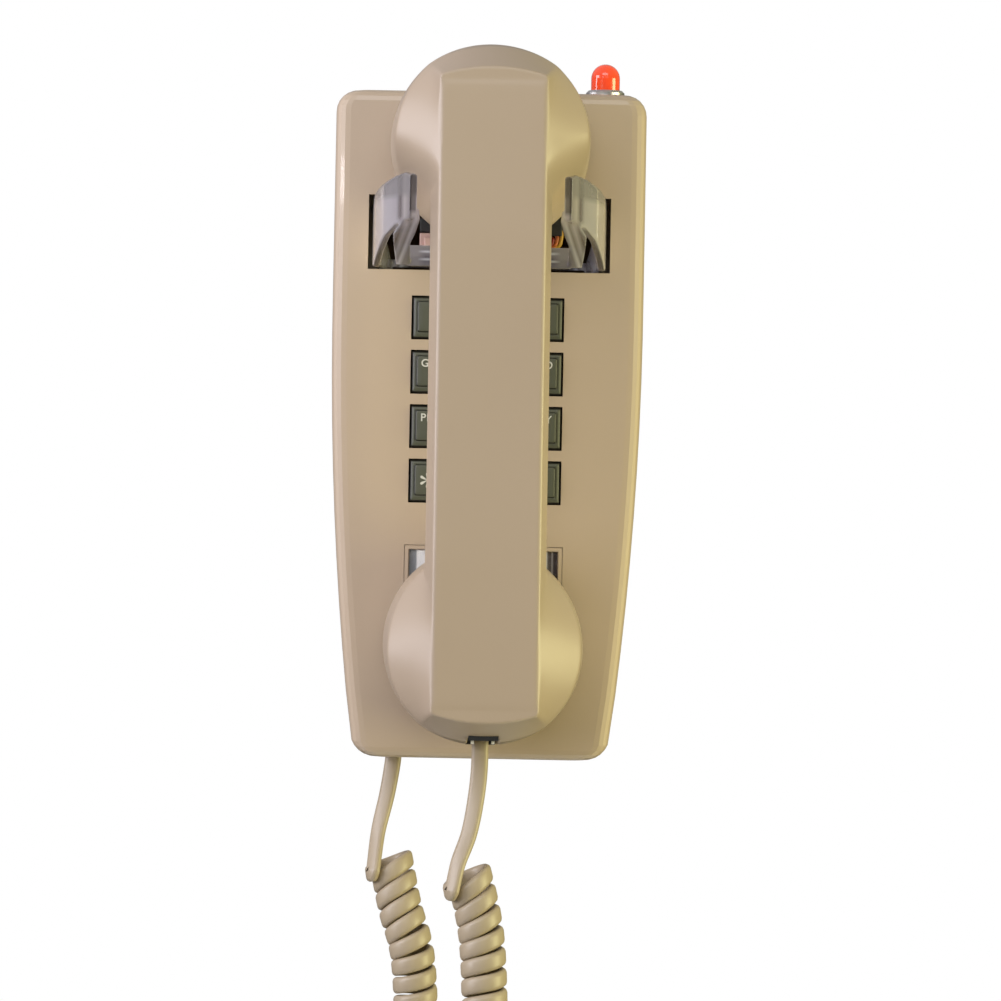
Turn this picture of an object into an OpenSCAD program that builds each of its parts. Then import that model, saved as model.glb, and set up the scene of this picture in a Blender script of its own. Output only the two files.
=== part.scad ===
// Slimline wall telephone: moulded housing, hook cradle, twelve-key dial, ringer,
// message lamp and a handset on a curly cord.
// X runs to the right, Z up, and the wall is the plane y = 0, so the front faces -Y.
// The origin is the middle of the wall screw pattern, on the wall.

/* [Housing] */
// Widest width of the housing
housing_w = 101.2; // [93:0.2:111]
// Width across the bottom edge
housing_bottom_w = 83; // [78:1:90]
// Height of the housing
housing_h = 215; // [211:1:224]
// Depth from the wall to the middle of the front
housing_d = 50; // [48:1:56]
// How far the front falls back at the top and bottom
crown = 3; // [1:0.5:4]
// Moulding draft of each side
draft = 0.6; // [0.3:0.1:2]
// Wall thickness of the housing
wall = 2.4; // [1.8:0.1:2.6]
// Corner radius of the outline
corner_r = 7; // [5:0.5:10]
// Rounding of the front edge
edge_r = 3.4; // [3:0.1:5]
// Height above the middle at which the sides start to taper
taper_top = 35; // [20:1:50]

/* [Hook cradle] */
// Width of the opening for the cradle
opening_w = 77.8; // [76.5:0.1:79]
// Height of the opening for the cradle
opening_h = 24; // [24:0.5:26]
// Height of the opening's lower edge
opening_z = 49.6; // [49:0.1:50]
// Thickness of the cradle's clear plastic
cradle_t = 2.6; // [2:0.1:3]
// Radius of the hinge pin
pin_r = 2; // [1.5:0.1:2.2]
// Height of the hinge pin
pin_z = 43; // [42:0.5:44]
// Distance of the hinge pin from the wall
pin_y = 15; // [13:0.5:16]

/* [Dial] */
// Distance between key centres
key_pitch = 17.46; // [17:0.02:17.8]
// Side of the square key hole
well = 14.1; // [13.5:0.1:14.4]
// Gap around a key in its hole
key_gap = 0.35; // [0.3:0.05:0.5]
// Height of the top row's centre
top_row_z = 34.3; // [33.5:0.1:35]
// How far a key stands out of the housing
key_proud = 1.1; // [0.6:0.1:1.3]
// Travel of a key
key_travel = 1.5; // [1:0.1:1.6]

/* [Number card] */
// Width of the card window
window_w = 48.2; // [46:0.2:50]
// Height of the card window
window_h = 13; // [11:0.5:14]
// Height of the card window's upper edge
window_z = -40; // [-41:0.5:-39.5]

/* [Handset] */
// Height of the receiver's centre
receiver_z = 88.9; // [88:0.1:90]
// Height of the transmitter's centre
transmitter_z = -69.3; // [-71:0.1:-69]
// Radius of the screwed caps
cap_r = 31.5; // [31:0.1:31.8]
// Length of a cap along its axis
cap_len = 12; // [11:0.5:13]
// Width of the handle's front face
handle_w = 32.4; // [30:0.2:34]
// Greatest width of the handle
handle_max_w = 38; // [36:0.5:39]
// Thickness of the handle
handle_t = 26; // [23:0.5:27]
// Distance of the handle's front from the wall
handset_d = 104; // [102:1:107]
// Gap between the housing and a cap
cap_gap = 1.8; // [1.7:0.1:2.5]

/* [Message lamp] */
// Distance of the lamp from the housing's right side
lamp_inset = 13.8; // [12:0.2:16]
// Radius of the lens
lens_r = 4.65; // [4.3:0.05:5]
// Height of the lens over its bezel
lens_h = 8.6; // [7:0.1:10]
// Radius of the bezel
bezel_r = 6.25; // [6:0.05:6.6]

/* [Ringer] */
// Radius of the gong
gong_r = 20; // [18:0.5:20.5]
// Sideways place of the gong's centre
gong_x = -15; // [-16:0.5:-15]
// Height of the gong's centre
gong_z = -68; // [-69:0.5:-67]

/* [Wall mounting] */
// Distance between wall screw holes across
screw_span_x = 60; // [54:1:62]
// Distance between wall screw holes in height
screw_span_z = 164; // [160:1:166]
// Radius of a wall screw hole
screw_hole_r = 2.2; // [2:0.1:2.6]
// Distance between the two wall plate studs
stud_span = 84.1; // [83:0.1:85]
// Thickness of the base plate
base_t = 3; // [2.5:0.1:3.2]

/* [Handset cord] */
// Width of the flat cord
cord_w = 4.8; // [4.4:0.1:4.8]
// Thickness of the flat cord
cord_t = 2.6; // [2.2:0.1:2.6]

/* [Hidden] */

fit = 0.3;
half_h = housing_h / 2;
taper_drop = (housing_w - housing_bottom_w) / 2;
taper_run = half_h + taper_top;
taper_r = (taper_run * taper_run + taper_drop * taper_drop) / (2 * taper_drop);

shell = "#b8a68c";
shell_dark = "#a8977d";
smoke = "#6f6f74";
steel = "#b9bcc0";

// ---- Shapes shared by the parts ----

// Joins rings of equally many points into one closed solid.
module skin(rings) {
    n = len(rings[0]);
    m = len(rings);
    points = [for (ring = rings) for (p = ring) p];
    sides = [
        for (i = [0:m - 2]) for (j = [0:n - 1]) let (k = (j + 1) % n)
            each [
                [i * n + j, i * n + k, (i + 1) * n + k],
                [i * n + j, (i + 1) * n + k, (i + 1) * n + j]
            ]
    ];
    first = [for (j = [1:n - 2]) [0, j + 1, j]];
    last = [for (j = [1:n - 2]) [(m - 1) * n, (m - 1) * n + j, (m - 1) * n + j + 1]];
    polyhedron(points = points, faces = concat(sides, first, last));
}

// A polygon with each corner cut back by d and rounded with n points.
function soft_corners(pts, d, n) = [
    for (i = [0:len(pts) - 1])
        let (
            p = pts[i],
            a = pts[(i + len(pts) - 1) % len(pts)],
            b = pts[(i + 1) % len(pts)],
            pa = p + (a - p) * min(d[i] / norm(a - p), 0.45),
            pb = p + (b - p) * min(d[i] / norm(b - p), 0.45)
        )
        for (k = [0:n - 1])
            let (t = k / (n - 1))
            (1 - t) * (1 - t) * pa + 2 * t * (1 - t) * p + t * t * pb
];

// Catmull-Rom curve through a list of points, each span in n steps.
function spline_at(a, b, c, d, t) =
    0.5 * (2 * b + (c - a) * t + (2 * a - 5 * b + 4 * c - d) * t * t
    + (3 * b - 3 * c + d - a) * t * t * t);
function spline(pts, n) = [
    for (i = [0:len(pts) - 2])
        let (
            a = i == 0 ? 2 * pts[0] - pts[1] : pts[i - 1],
            last = len(pts) - 1,
            d = i == last - 1 ? 2 * pts[last] - pts[i] : pts[i + 2]
        )
        for (k = [0:n - 1]) spline_at(a, pts[i], pts[i + 1], d, k / n),
    pts[len(pts) - 1]
];

function unit(v) = v / norm(v);
function rounding(r, t) = t <= 0 ? 0 : r - sqrt(max(0, r * r - t * t));

// Puts a shape that was drawn with its axis along Z at (x, z), its axis towards the front.
module facing(x, y, z) {
    translate([x, -y, z]) rotate([90, 0, 0]) children();
}

module block(x, y, z) {
    // x, y and z are [from, to], with y measured from the wall.
    translate([x[0], -y[1], z[0]]) cube([x[1] - x[0], y[1] - y[0], z[1] - z[0]]);
}

// ---- Housing ----

// Half width of the outline at height z, drawn in by t.
function half_w(z, t) =
    housing_w / 2 - t
    - (z < taper_top ? taper_r - sqrt(taper_r * taper_r - pow(taper_top - z, 2)) : 0)
    - rounding(corner_r - t / 2, abs(z) - (half_h - t) + corner_r - t / 2);
function front_y(z) = housing_d - crown * pow(z / half_h, 2);
function depth(z, t) =
    front_y(z) - t - rounding(edge_r, abs(z) - (half_h - t) + edge_r);

function heights(t) = [
    for (a = [90:-15:0]) half_h - t - corner_r * (1 - sin(a)),
    for (k = [1:13]) (half_h - corner_r) * (1 - k / 7),
    for (a = [15:15:90]) -(half_h - t - corner_r * (1 - sin(a)))
];

function housing_ring(z, t, back) = [
    for (p = soft_corners(
        [
            [-half_w(z, t), -back], [-half_w(z, t) + draft, -depth(z, t)],
            [half_w(z, t) - draft, -depth(z, t)], [half_w(z, t), -back]
        ],
        [0.01, edge_r * 1.4, edge_r * 1.4, 0.01], 6
    )) [p[0], p[1], z]
];

module housing_form(t, back) {
    skin([for (z = heights(t)) housing_ring(z, t, back)]);
}

lamp_x = housing_w / 2 - lamp_inset;
lamp_y = housing_d - 15;
// Shank of the lamp's bezel, in its hole through the top.
shank_r = 5;
gong_y = 16;
gong_d = 11.4;
gong_t = 1.4;
jack_x = -28;
jack_y = 18;
plug_w = 7.6;
plug_t = 5.4;
card_border = 1.15;
// Cover screw: its axis's distance from the wall and its radii.
cover_y = 11;
cover_shank_r = 1.5;
cover_head_r = 3;
cover_boss = 9;

function key_x(col) = (col - 1) * key_pitch;
function key_z(row) = top_row_z - row * key_pitch;
pocket_y = front_y(window_z - window_h / 2) - 1.45;

module housing() {
    color(shell)
    difference() {
        housing_form(0, 0.5);
        difference() {
            housing_form(wall, -1);
            // Boss for the cover screw at the bottom.
            block([-5, 5], [cover_y - 5, cover_y + 5], [-half_h, -half_h + cover_boss]);
        }
        block([-opening_w / 2, opening_w / 2], [housing_d - 20, housing_d + 1],
            [opening_z, opening_z + opening_h]);
        for (row = [0:3]) for (col = [0:2])
            block([key_x(col) - well / 2, key_x(col) + well / 2],
                [housing_d - 20, housing_d + 1],
                [key_z(row) - well / 2, key_z(row) + well / 2]);
        block([-window_w / 2 - card_border - 0.2, window_w / 2 + card_border + 0.2],
            [pocket_y, housing_d + 1],
            [window_z - window_h - card_border - 0.2, window_z + card_border + 0.2]);
        translate([lamp_x, -lamp_y, half_h - wall * 2]) cylinder(r = shank_r + 0.2, h = wall * 4);
        block([jack_x - plug_w / 2 - 0.5, jack_x + plug_w / 2 + 0.5],
            [jack_y - 4, jack_y + 4.5], [-half_h - 1, -half_h + wall * 2]);
        translate([0, -cover_y, -half_h - 1])
            cylinder(r = cover_shank_r + 0.2, h = cover_boss + 3);
        translate([0, -cover_y, -half_h - 1]) cylinder(r = cover_head_r + 0.4, h = 3);
    }
}

module cover_screw() {
    color(steel)
    difference() {
        union() {
            translate([0, -cover_y, -half_h + fit]) cylinder(r = cover_head_r, h = 2 - fit);
            translate([0, -cover_y, -half_h + 1])
                cylinder(r = cover_shank_r, h = cover_boss + 4);
        }
        block([-cover_head_r - 1, cover_head_r + 1], [cover_y - 0.4, cover_y + 0.4],
            [-half_h, -half_h + 1]);
    }
}

// ---- Base plate with its posts ----

base_in = wall + 0.5;
dial_post = [for (x = [-32, 32]) for (z = [33, -22]) [x, z]];
board_post = [for (x = [-23, 23]) for (z = [23, -27]) [x, z]];
dial_back = housing_d - 10;
board_y = 10;

line_plug_w = 17.4;
slot_r = 2.4;
entry_r = 2 * slot_r;
entry_drop = 9;

module keyhole(z) {
    facing(0, -1, z) cylinder(r = slot_r, h = base_t + 2);
    facing(0, -1, z - entry_drop) cylinder(r = entry_r, h = base_t + 2);
    block([-slot_r, slot_r], [-1, base_t + 1], [z - entry_drop, z]);
}

module base_plate() {
    color("#8f877a")
    difference() {
        union() {
            rotate([90, 0, 0]) linear_extrude(base_t)
                polygon(concat(
                    [for (z = heights(base_in)) [-half_w(z, base_in), z]],
                    [for (z = [for (k = [1:26]) heights(base_in)[26 - k]])
                        [half_w(z, base_in), z]]
                ));
            for (p = dial_post) facing(p[0], 1, p[1]) cylinder(r = 3.2, h = dial_back - 1);
            for (p = board_post) facing(p[0], 1, p[1]) cylinder(r = 3, h = board_y - 1);
            for (sx = [-1, 1]) for (sz = [-1, 1])
                facing(sx * screw_span_x / 2, 1, sz * screw_span_z / 2)
                    cylinder(r = screw_hole_r + 2.4, h = base_t + 1);
            // Bracket that the cover screw bites into.
            block([-7, 7], [1, cover_y + 5],
                [-half_h + cover_boss + fit, -half_h + cover_boss + fit + base_t]);
            // Seat of the gong.
            facing(gong_x, 1, gong_z) cylinder(r = 4, h = gong_y + gong_d - gong_t - 1);
            // Seat of the cord jack.
            block([jack_x - 7, jack_x + 7], [1, jack_y - 6.5], [-half_h + 5, -half_h + 17]);
        }
        for (sx = [-1, 1]) for (sz = [-1, 1])
            facing(sx * screw_span_x / 2, -1, sz * screw_span_z / 2)
                cylinder(r = screw_hole_r, h = base_t + 6);
        keyhole(stud_span / 2);
        keyhole(-stud_span / 2);
        block([-line_plug_w / 2 - fit, line_plug_w / 2 + fit], [-1, base_t + 1],
            [-line_plug_w / 2 - fit, line_plug_w / 2 + fit]);
        for (p = dial_post) facing(p[0], dial_back - 12, p[1]) cylinder(r = 1.2, h = 14);
        facing(gong_x, gong_y - 6, gong_z) cylinder(r = 1.6, h = gong_d + 8);
        translate([0, -cover_y, -half_h + cover_boss - 1])
            cylinder(r = cover_shank_r + 0.05, h = base_t + 3);
    }
}

module wall_plug() {
    color("#d9d4c6") {
        block([-line_plug_w / 2, line_plug_w / 2], [0.4, base_t + 5],
            [-line_plug_w / 2, line_plug_w / 2]);
        block([-plug_w / 2, plug_w / 2], [0.2, base_t + 1], [-5, 5]);
    }
}

// ---- Hook cradle ----

lug_x = opening_w / 2 - 2.9;
arm_x = opening_w / 2 - 6.3;
web_top = opening_z + 4;
saddle_front = cap_gap + housing_d + 10;
bracket_t = 1.4;
// Middle and back of the hook switch, from the wall.
switch_y = housing_d - 20;
switch_z = 62;
switch_h = 12;

module hook_bracket() {
    color(steel)
    difference() {
        union() {
            block([-lug_x, lug_x], [base_t, base_t + bracket_t],
                [pin_z - 4, switch_z + switch_h + 3]);
            for (s = [-1, 1])
                block([min(s * lug_x, s * (lug_x + bracket_t)),
                    max(s * lug_x, s * (lug_x + bracket_t))],
                    [base_t, pin_y + 5], [pin_z - 4, pin_z + 5]);
            block([-13, 13], [base_t, switch_y + 10],
                [switch_z + switch_h, switch_z + switch_h + bracket_t]);
        }
        translate([-lug_x - 5, -pin_y, pin_z]) rotate([0, 90, 0])
            cylinder(r = pin_r + 0.05, h = 2 * lug_x + 10);
        for (s = [-1, 1]) facing(s * lug_x / 2, 0, switch_z) cylinder(r = 1.8, h = 10);
    }
}

module hook_pin() {
    color("silver") {
        translate([-lug_x - 2.6, -pin_y, pin_z]) rotate([0, 90, 0])
            cylinder(r = pin_r, h = 2 * lug_x + 5.2);
        for (x = [-lug_x - 2.6, lug_x + 1.6])
            translate([x, -pin_y, pin_z]) rotate([0, 90, 0]) cylinder(r = pin_r + 1, h = 1);
    }
}

// Torsion spring: a back leg, six turns on the pin and a leg under the cradle's web.
spring_wire = 0.9;
spring_r = pin_r + 1;
spring_turns = 6;
spring_x = -27;
spring_pitch = 1.4;
spring_path = concat(
    [[spring_x, -base_t - 1.9, pin_z - spring_r], [spring_x, -pin_y + 4, pin_z - spring_r]],
    [for (k = [0:spring_turns * 8])
        [
            spring_x + spring_pitch * k / 8,
            -pin_y - spring_r * sin(k * 45),
            pin_z - spring_r * cos(k * 45)
        ]],
    [
        [spring_x + spring_turns * spring_pitch, -pin_y - 6, pin_z - spring_r],
        [
            spring_x + spring_turns * spring_pitch, -pin_y - 15,
            web_top - cradle_t - spring_wire / 2 - fit
        ]
    ]
);

function tangent(path, i) =
    unit(path[min(i + 1, len(path) - 1)] - path[max(i - 1, 0)]);

module hook_spring() {
    color("#c9c4b4")
    skin([
        for (i = [0:len(spring_path) - 1])
            let (
                t = tangent(spring_path, i),
                u = unit(cross(t, [1, 0, 0.001])),
                v = cross(u, t)
            )
            [for (a = [0:60:300]) spring_path[i] + spring_wire / 2 * (cos(a) * u + sin(a) * v)]
    ]);
}

module hook_switch() {
    color("#b8743a")
    difference() {
        block([-8, 8], [switch_y - 8, switch_y + 8], [switch_z, switch_z + switch_h]);
        translate([0, -switch_y, switch_z - 2]) cylinder(r = 2 + fit, h = switch_h);
    }
}

module switch_plunger() {
    color("ivory") {
        translate([0, -switch_y, web_top + fit])
            cylinder(r = 2, h = switch_z + switch_h / 2 - web_top);
        translate([0, -switch_y, web_top + fit]) cylinder(r = 3.2, h = 1.2);
    }
}

// Plan of one ear, from its arm inside the housing to its tip: [x, y].
ear_plan = [
    [arm_x, pin_y + 9], [arm_x + 1.6, pin_y + 20], [arm_x + 3.5, housing_d - 3],
    [arm_x + 2.9, housing_d + 6], [arm_x + 0.8, housing_d + 16],
    [arm_x - 2, housing_d + 24.5], [arm_x - 5.2, housing_d + 33], [arm_x - 8.6, housing_d + 40.5]
];
ear_steps = 4;

// Upper and lower edge of an ear over the opening's lower edge, by its distance from the front.
function ear_top(y) = opening_z + lookup(y - housing_d, [
    [-26, 2.4], [-10, 12.4], [1.5, 19.9], [2.6, 23.6], [14, 26], [28, 28.4], [36, 29.2],
    [41, 28.4]
]);
function ear_bottom(y) = opening_z + lookup(y - housing_d, [
    [-26, -3.6], [-10, 0.2], [2, 0.6], [9, 4], [19, 9.4], [29, 12.8], [41, 14.6]
]);

module ear() {
    path = [for (p = spline(ear_plan, ear_steps)) [p[0], -p[1]]];
    skin([
        for (i = [0:len(path) - 1])
            let (
                t = unit(path[min(i + 1, len(path) - 1)] - path[max(i - 1, 0)]),
                n = [-t[1], t[0]] * cradle_t / 2,
                lo = ear_bottom(-path[i][1]),
                hi = ear_top(-path[i][1])
            )
            [
                for (p = soft_corners(
                    [[1, lo], [-1, lo], [-1, hi], [1, hi]], [0.5, 0.5, 0.5, 0.5], 3
                ))
                [path[i][0] + n[0] * p[0], path[i][1] + n[1] * p[0], p[1]]
            ]
    ]);
}

saddle_w = opening_w * 2 / 3;

module hook_half() {
    ear();
    difference() {
        union() {
            translate([arm_x - cradle_t / 2, -pin_y, pin_z]) rotate([0, 90, 0])
                cylinder(r = pin_r + 2.4, h = cradle_t);
            block([arm_x - cradle_t / 2, arm_x + cradle_t / 2], [pin_y, pin_y + 12],
                [pin_z - 1, pin_z + 6.5]);
        }
        translate([0, -pin_y, pin_z]) rotate([0, 90, 0])
            cylinder(r = pin_r + 0.1, h = 2 * arm_x);
    }
    // Strut from the tip back down to the end of the saddle.
    hull() {
        block([arm_x - 10.4, arm_x - 6.8], [housing_d + 36.5, housing_d + 40],
            [opening_z + 14.2, opening_z + 17.6]);
        block([saddle_w / 2 - 3.5, saddle_w / 2], [saddle_front - 4, saddle_front],
            [opening_z + 0.8, opening_z + 5]);
    }
}

module hook_cradle() {
    color(smoke) {
        hook_half();
        mirror([1, 0, 0]) hook_half();
        block([-arm_x, arm_x], [pin_y + 9, pin_y + 12], [web_top - cradle_t, web_top]);
        block([-saddle_w / 2, saddle_w / 2], [pin_y + 9, saddle_front - 3],
            [web_top - cradle_t, web_top]);
        // Saddle that the rim of the receiver rests in.
        difference() {
            block([-saddle_w / 2, saddle_w / 2], [housing_d + 1, saddle_front],
                [opening_z + 0.8, opening_z + 8.6]);
            facing(0, housing_d, receiver_z) cylinder(r = cap_r + fit, h = cap_len * 2);
        }
    }
}

// ---- Dial ----

key_side = well - 2 * key_gap;
flange_side = key_pitch - 1.7;
key_back = housing_d - 5.7;
frame_front = housing_d - 3.4;
guide = flange_side + 0.5;
frame_x = key_pitch + guide / 2 + 1.2;
frame_top = key_z(0) + guide / 2 + 1.2;
frame_bottom = key_z(3) - guide / 2 - 1.2;

module dial_frame() {
    color("#33363a")
    difference() {
        union() {
            block([-frame_x, frame_x], [dial_back, frame_front], [frame_bottom, frame_top]);
            for (p = dial_post) {
                facing(p[0], dial_back, p[1]) cylinder(r = 3.6, h = 2);
                block([min(0, p[0]), max(0, p[0])], [dial_back, dial_back + 2],
                    [p[1] - 2.4, p[1] + 2.4]);
            }
        }
        for (row = [0:3]) for (col = [0:2])
            block([key_x(col) - guide / 2, key_x(col) + guide / 2], [dial_back + 1.6, housing_d],
                [key_z(row) - guide / 2, key_z(row) + guide / 2]);
        block([-frame_x + 1.2, frame_x - 1.2], [dial_back - 1, dial_back + 1.8],
            [frame_bottom + 1.2, frame_top - 1.2]);
        for (p = dial_post) facing(p[0], dial_back - 1, p[1]) cylinder(r = 1.7, h = 6);
    }
}

module dial_screws() {
    color(steel)
    for (p = dial_post) facing(p[0], 0, p[1])
        difference() {
            union() {
                translate([0, 0, dial_back + 2]) cylinder(r = 2.8, h = 1.6);
                translate([0, 0, dial_back - 8]) cylinder(r = 1.15, h = 11);
            }
            translate([-3, -0.4, dial_back + 2.9]) cube([6, 0.8, 1]);
        }
}

// Rubber sheet with one dome under each key.
module dial_pad() {
    color("#d8d2c0") {
        block([-frame_x + 1.5, frame_x - 1.5], [dial_back, dial_back + 1.2],
            [frame_bottom + 1.5, frame_top - 1.5]);
        for (row = [0:3]) for (col = [0:2])
            facing(key_x(col), dial_back + 1, key_z(row)) cylinder(r1 = 5, r2 = 3, h = 1.2);
    }
}

module dial_board() {
    color("#2f6b3f")
    block([-frame_x + 1, frame_x - 1], [dial_back - 1.6, dial_back],
        [frame_bottom + 1, frame_top - 1]);
}

// One key: flange and stem behind the housing, cap with a raised pad in front.
module key(col, row) {
    front = front_y(key_z(row)) + key_proud;
    color("#4d5349")
    translate([key_x(col), 0, key_z(row)]) {
        block([-flange_side / 2, flange_side / 2], [key_back, key_back + 1.2],
            [-flange_side / 2, flange_side / 2]);
        block([-key_side / 2, key_side / 2], [key_back, front - 1.2],
            [-key_side / 2, key_side / 2]);
        facing(0, key_back - 0.6, 0) cylinder(r = 2.4, h = 2);
        // The cap's edge slopes in to the raised pad.
        hull() {
            block([-key_side / 2, key_side / 2], [front - 1.3, front - 1.2],
                [-key_side / 2, key_side / 2]);
            block([-key_side / 2 + 0.7, key_side / 2 - 0.7], [front - 0.7, front - 0.6],
                [-key_side / 2 + 0.7, key_side / 2 - 0.7]);
        }
        hull() {
            block([-key_side / 2 + 1.6, key_side / 2 - 1.6], [front - 0.7, front - 0.6],
                [-key_side / 2 + 1.6, key_side / 2 - 1.6]);
            block([-key_side / 2 + 2, key_side / 2 - 2], [front - 0.1, front],
                [-key_side / 2 + 2, key_side / 2 - 2]);
        }
    }
}

// ---- Number card ----

module card_frame() {
    color(shell)
    difference() {
        block([-window_w / 2 - card_border, window_w / 2 + card_border],
            [pocket_y, pocket_y + 1.5],
            [window_z - window_h - card_border, window_z + card_border]);
        block([-window_w / 2, window_w / 2], [pocket_y - 1, pocket_y + 3],
            [window_z - window_h, window_z]);
    }
}

module number_card() {
    color("white")
    block([-window_w / 2 + 0.3, window_w / 2 - 0.3], [pocket_y, pocket_y + 0.3],
        [window_z - window_h + 0.3, window_z - 0.3]);
}

module card_window() {
    color("#c9ccd0")
    block([-window_w / 2 + 0.15, window_w / 2 - 0.15], [pocket_y + 0.3, pocket_y + 1.1],
        [window_z - window_h + 0.15, window_z - 0.15]);
}

// ---- Electronics and ringer ----

board_w = 55;
board_z = [-31, 27];
board_t = 1.6;

module line_board() {
    color("#2f6b3f")
    block([-board_w / 2, board_w / 2], [board_y, board_y + board_t], [board_z[0], board_z[1]]);
    color("#31425e")
    for (x = [-18, -6]) facing(x, board_y + board_t, 12) cylinder(r = 4.5, h = 12);
    color("#c7a24a")
    block([board_w / 2 - 19.5, board_w / 2 - 3.5], [board_y + board_t, board_y + 15], [2, 18]);
    color("#222222")
    block([-board_w / 2 + 5.5, -4], [board_y + board_t, board_y + 5], [-20, -13]);
}

coil_x = 27;
coil_z = [-62, -42.2];
pivot_x = 9.5;
pivot_z = -39;
bell_y = gong_y + 2;

module ringer_frame() {
    color(steel)
    difference() {
        union() {
            block([pivot_x - 4, coil_x + 10], [base_t, base_t + bracket_t],
                [coil_z[0] - 1, pivot_z + 4.5]);
            block([coil_x - 6, coil_x + 6], [base_t, bell_y + 6],
                [coil_z[0] - 1.6 - bracket_t, coil_z[0] - 1.6]);
            facing(pivot_x, base_t, pivot_z) cylinder(r = 1.4, h = bell_y + 1);
        }
        facing(pivot_x + 4, 0, coil_z[0] + 5) cylinder(r = 1.6, h = 10);
    }
}

module ringer_coil() {
    color("#7a3b1d")
    translate([coil_x, -bell_y + 4.5, coil_z[0] - 1.6]) {
        cylinder(r = 8.6, h = 1.6);
        translate([0, 0, 1.6]) cylinder(r = 7.6, h = coil_z[1] - coil_z[0] - 1.6);
        translate([0, 0, coil_z[1] - coil_z[0]]) cylinder(r = 8.6, h = 1.6);
    }
}

module clapper() {
    color("#c8a24a")
    difference() {
        union() {
            facing(pivot_x, bell_y - 1.6, pivot_z) cylinder(r = 3, h = 3.2);
            block([pivot_x - 0.8, pivot_x + 0.8], [bell_y - 0.8, bell_y + 0.8], [-64, pivot_z]);
            block([pivot_x, coil_x + 3], [bell_y - 1.6, bell_y + 1.6], [pivot_z - 1, pivot_z + 1.4]);
            translate([pivot_x, -bell_y, -66]) sphere(r = 2.5);
        }
        facing(pivot_x, bell_y - 8, pivot_z) cylinder(r = 1.45, h = 16);
    }
}

module gong() {
    color("#c9b36a")
    facing(gong_x, gong_y, gong_z)
    difference() {
        rotate_extrude($fn = 64)
            polygon(concat(
                [[1.8, gong_d - gong_t], [7, gong_d - gong_t]],
                [for (a = [80:-10:0])
                    [7 + (gong_r - 7 - gong_t) * cos(a), (gong_d - gong_t) * sin(a)]],
                [for (a = [0:10:90]) [7 + (gong_r - 7) * cos(a), gong_d * sin(a)]],
                [[1.8, gong_d]]
            ));
        translate([0, 0, -5]) cylinder(r = 1.8, h = 20);
    }
}

module gong_screw() {
    color(steel)
    facing(gong_x, 0, gong_z) {
        translate([0, 0, gong_y + gong_d - 12]) cylinder(r = 1.5, h = 13);
        translate([0, 0, gong_y + gong_d]) cylinder(r = 3.4, h = 1.8);
    }
}

// ---- Message lamp ----

bezel_h = 1.8;

module lamp_bezel() {
    color("silver")
    translate([lamp_x, -lamp_y, half_h])
    rotate_extrude($fn = 64)
        polygon([
            [lens_r - 1.4, -12], [shank_r, -12], [shank_r, 0], [bezel_r, 0], [bezel_r, 1],
            [bezel_r - 0.8, bezel_h], [lens_r - 1.4, bezel_h]
        ]);
}

module lamp_lens() {
    color([1, 0.2, 0.05, 0.9])
    translate([lamp_x, -lamp_y, half_h + bezel_h])
    rotate_extrude($fn = 64)
        polygon(concat(
            [[lens_r - 2.4, -3], [lens_r - 1.5, -3], [lens_r - 1.5, 0], [lens_r, 0]],
            [for (a = [0:10:90]) [lens_r * cos(a), lens_h - lens_r + lens_r * sin(a)]],
            [for (a = [90:-15:0])
                [(lens_r - 1.2) * cos(a), lens_h - lens_r + (lens_r - 1.2) * sin(a)]],
            [[lens_r - 1.2, 1.2], [lens_r - 2.4, 1.2]]
        ));
}

module lamp_bulb() {
    color("#e8b070")
    translate([lamp_x, -lamp_y, half_h])
    rotate_extrude($fn = 48)
        polygon(concat(
            [[0, -16], [4.4, -16], [4.4, -12], [1.9, -12]],
            [for (a = [0:15:90]) [1.9 * cos(a), 4 + 1.9 * sin(a)]]
        ));
}

module lamp_nut() {
    color(steel)
    translate([lamp_x, -lamp_y, half_h - wall - 3.2])
    difference() {
        rotate([0, 0, 30]) cylinder(r = shank_r + 1.6, h = 2.5, $fn = 6);
        translate([0, 0, -1]) cylinder(r = shank_r + 0.1, h = 5);
    }
}

// ---- Handset ----

rim_y = housing_d + cap_gap;
bowl_r = cap_r - 2.9;
bowl_t = 2.2;
// Distance from the rim to the inside of the bowl's floor.
bowl_floor = 17;
handle_back = handset_d - handle_t;

// Flat front of the handset over a bowl: its length beyond the bowl's centre, and how far
// the end of it curves back at the edges of the handle.
flat_end = 22;
flat_curve = 2.7;
flat_w = handle_w / 2;
dome_top = handset_d - 1 - rim_y;

// Radius of the flat in the direction a; the flat runs on into the handle at -90.
function flat_radius(a) =
    let (
        k = flat_curve * pow(cos(a) / flat_w, 2),
        end = k < 0.0001 ? flat_end : (sqrt(pow(sin(a), 2) + 4 * k * flat_end) - sin(a)) / (2 * k)
    )
    min(flat_w / max(0.01, abs(cos(a))), sin(a) > 0 ? end : cap_r - 1);

// Height of the dome in the direction a, a share s of the way from the flat out to the rim,
// as a share of its full height: a straight flank to a round shoulder at the share turn, and
// on the handle's side a low slope that leaves room for the ears.
function dome_height(s, a) =
    let (
        upper = pow(max(0, sin(a)), 4),
        lower = min(1, max(0, -sin(a)) / 0.4),
        turn = 0.9 - 0.17 * upper,
        flank = 1 - (0.35 + 0.1 * upper) * s,
        shoulder = pow(1 - pow(max(0, s - turn) / (1 - turn), 2), 0.5 + 0.05 * upper),
        bulge = (1.15 + 1.05 * pow(cos(a), 2)) * (1 + 0.7 * min(0, sin(a)))
    )
    (1 - lower) * flank * shoulder + lower * pow(1 - pow(s, bulge), 0.92);

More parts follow.
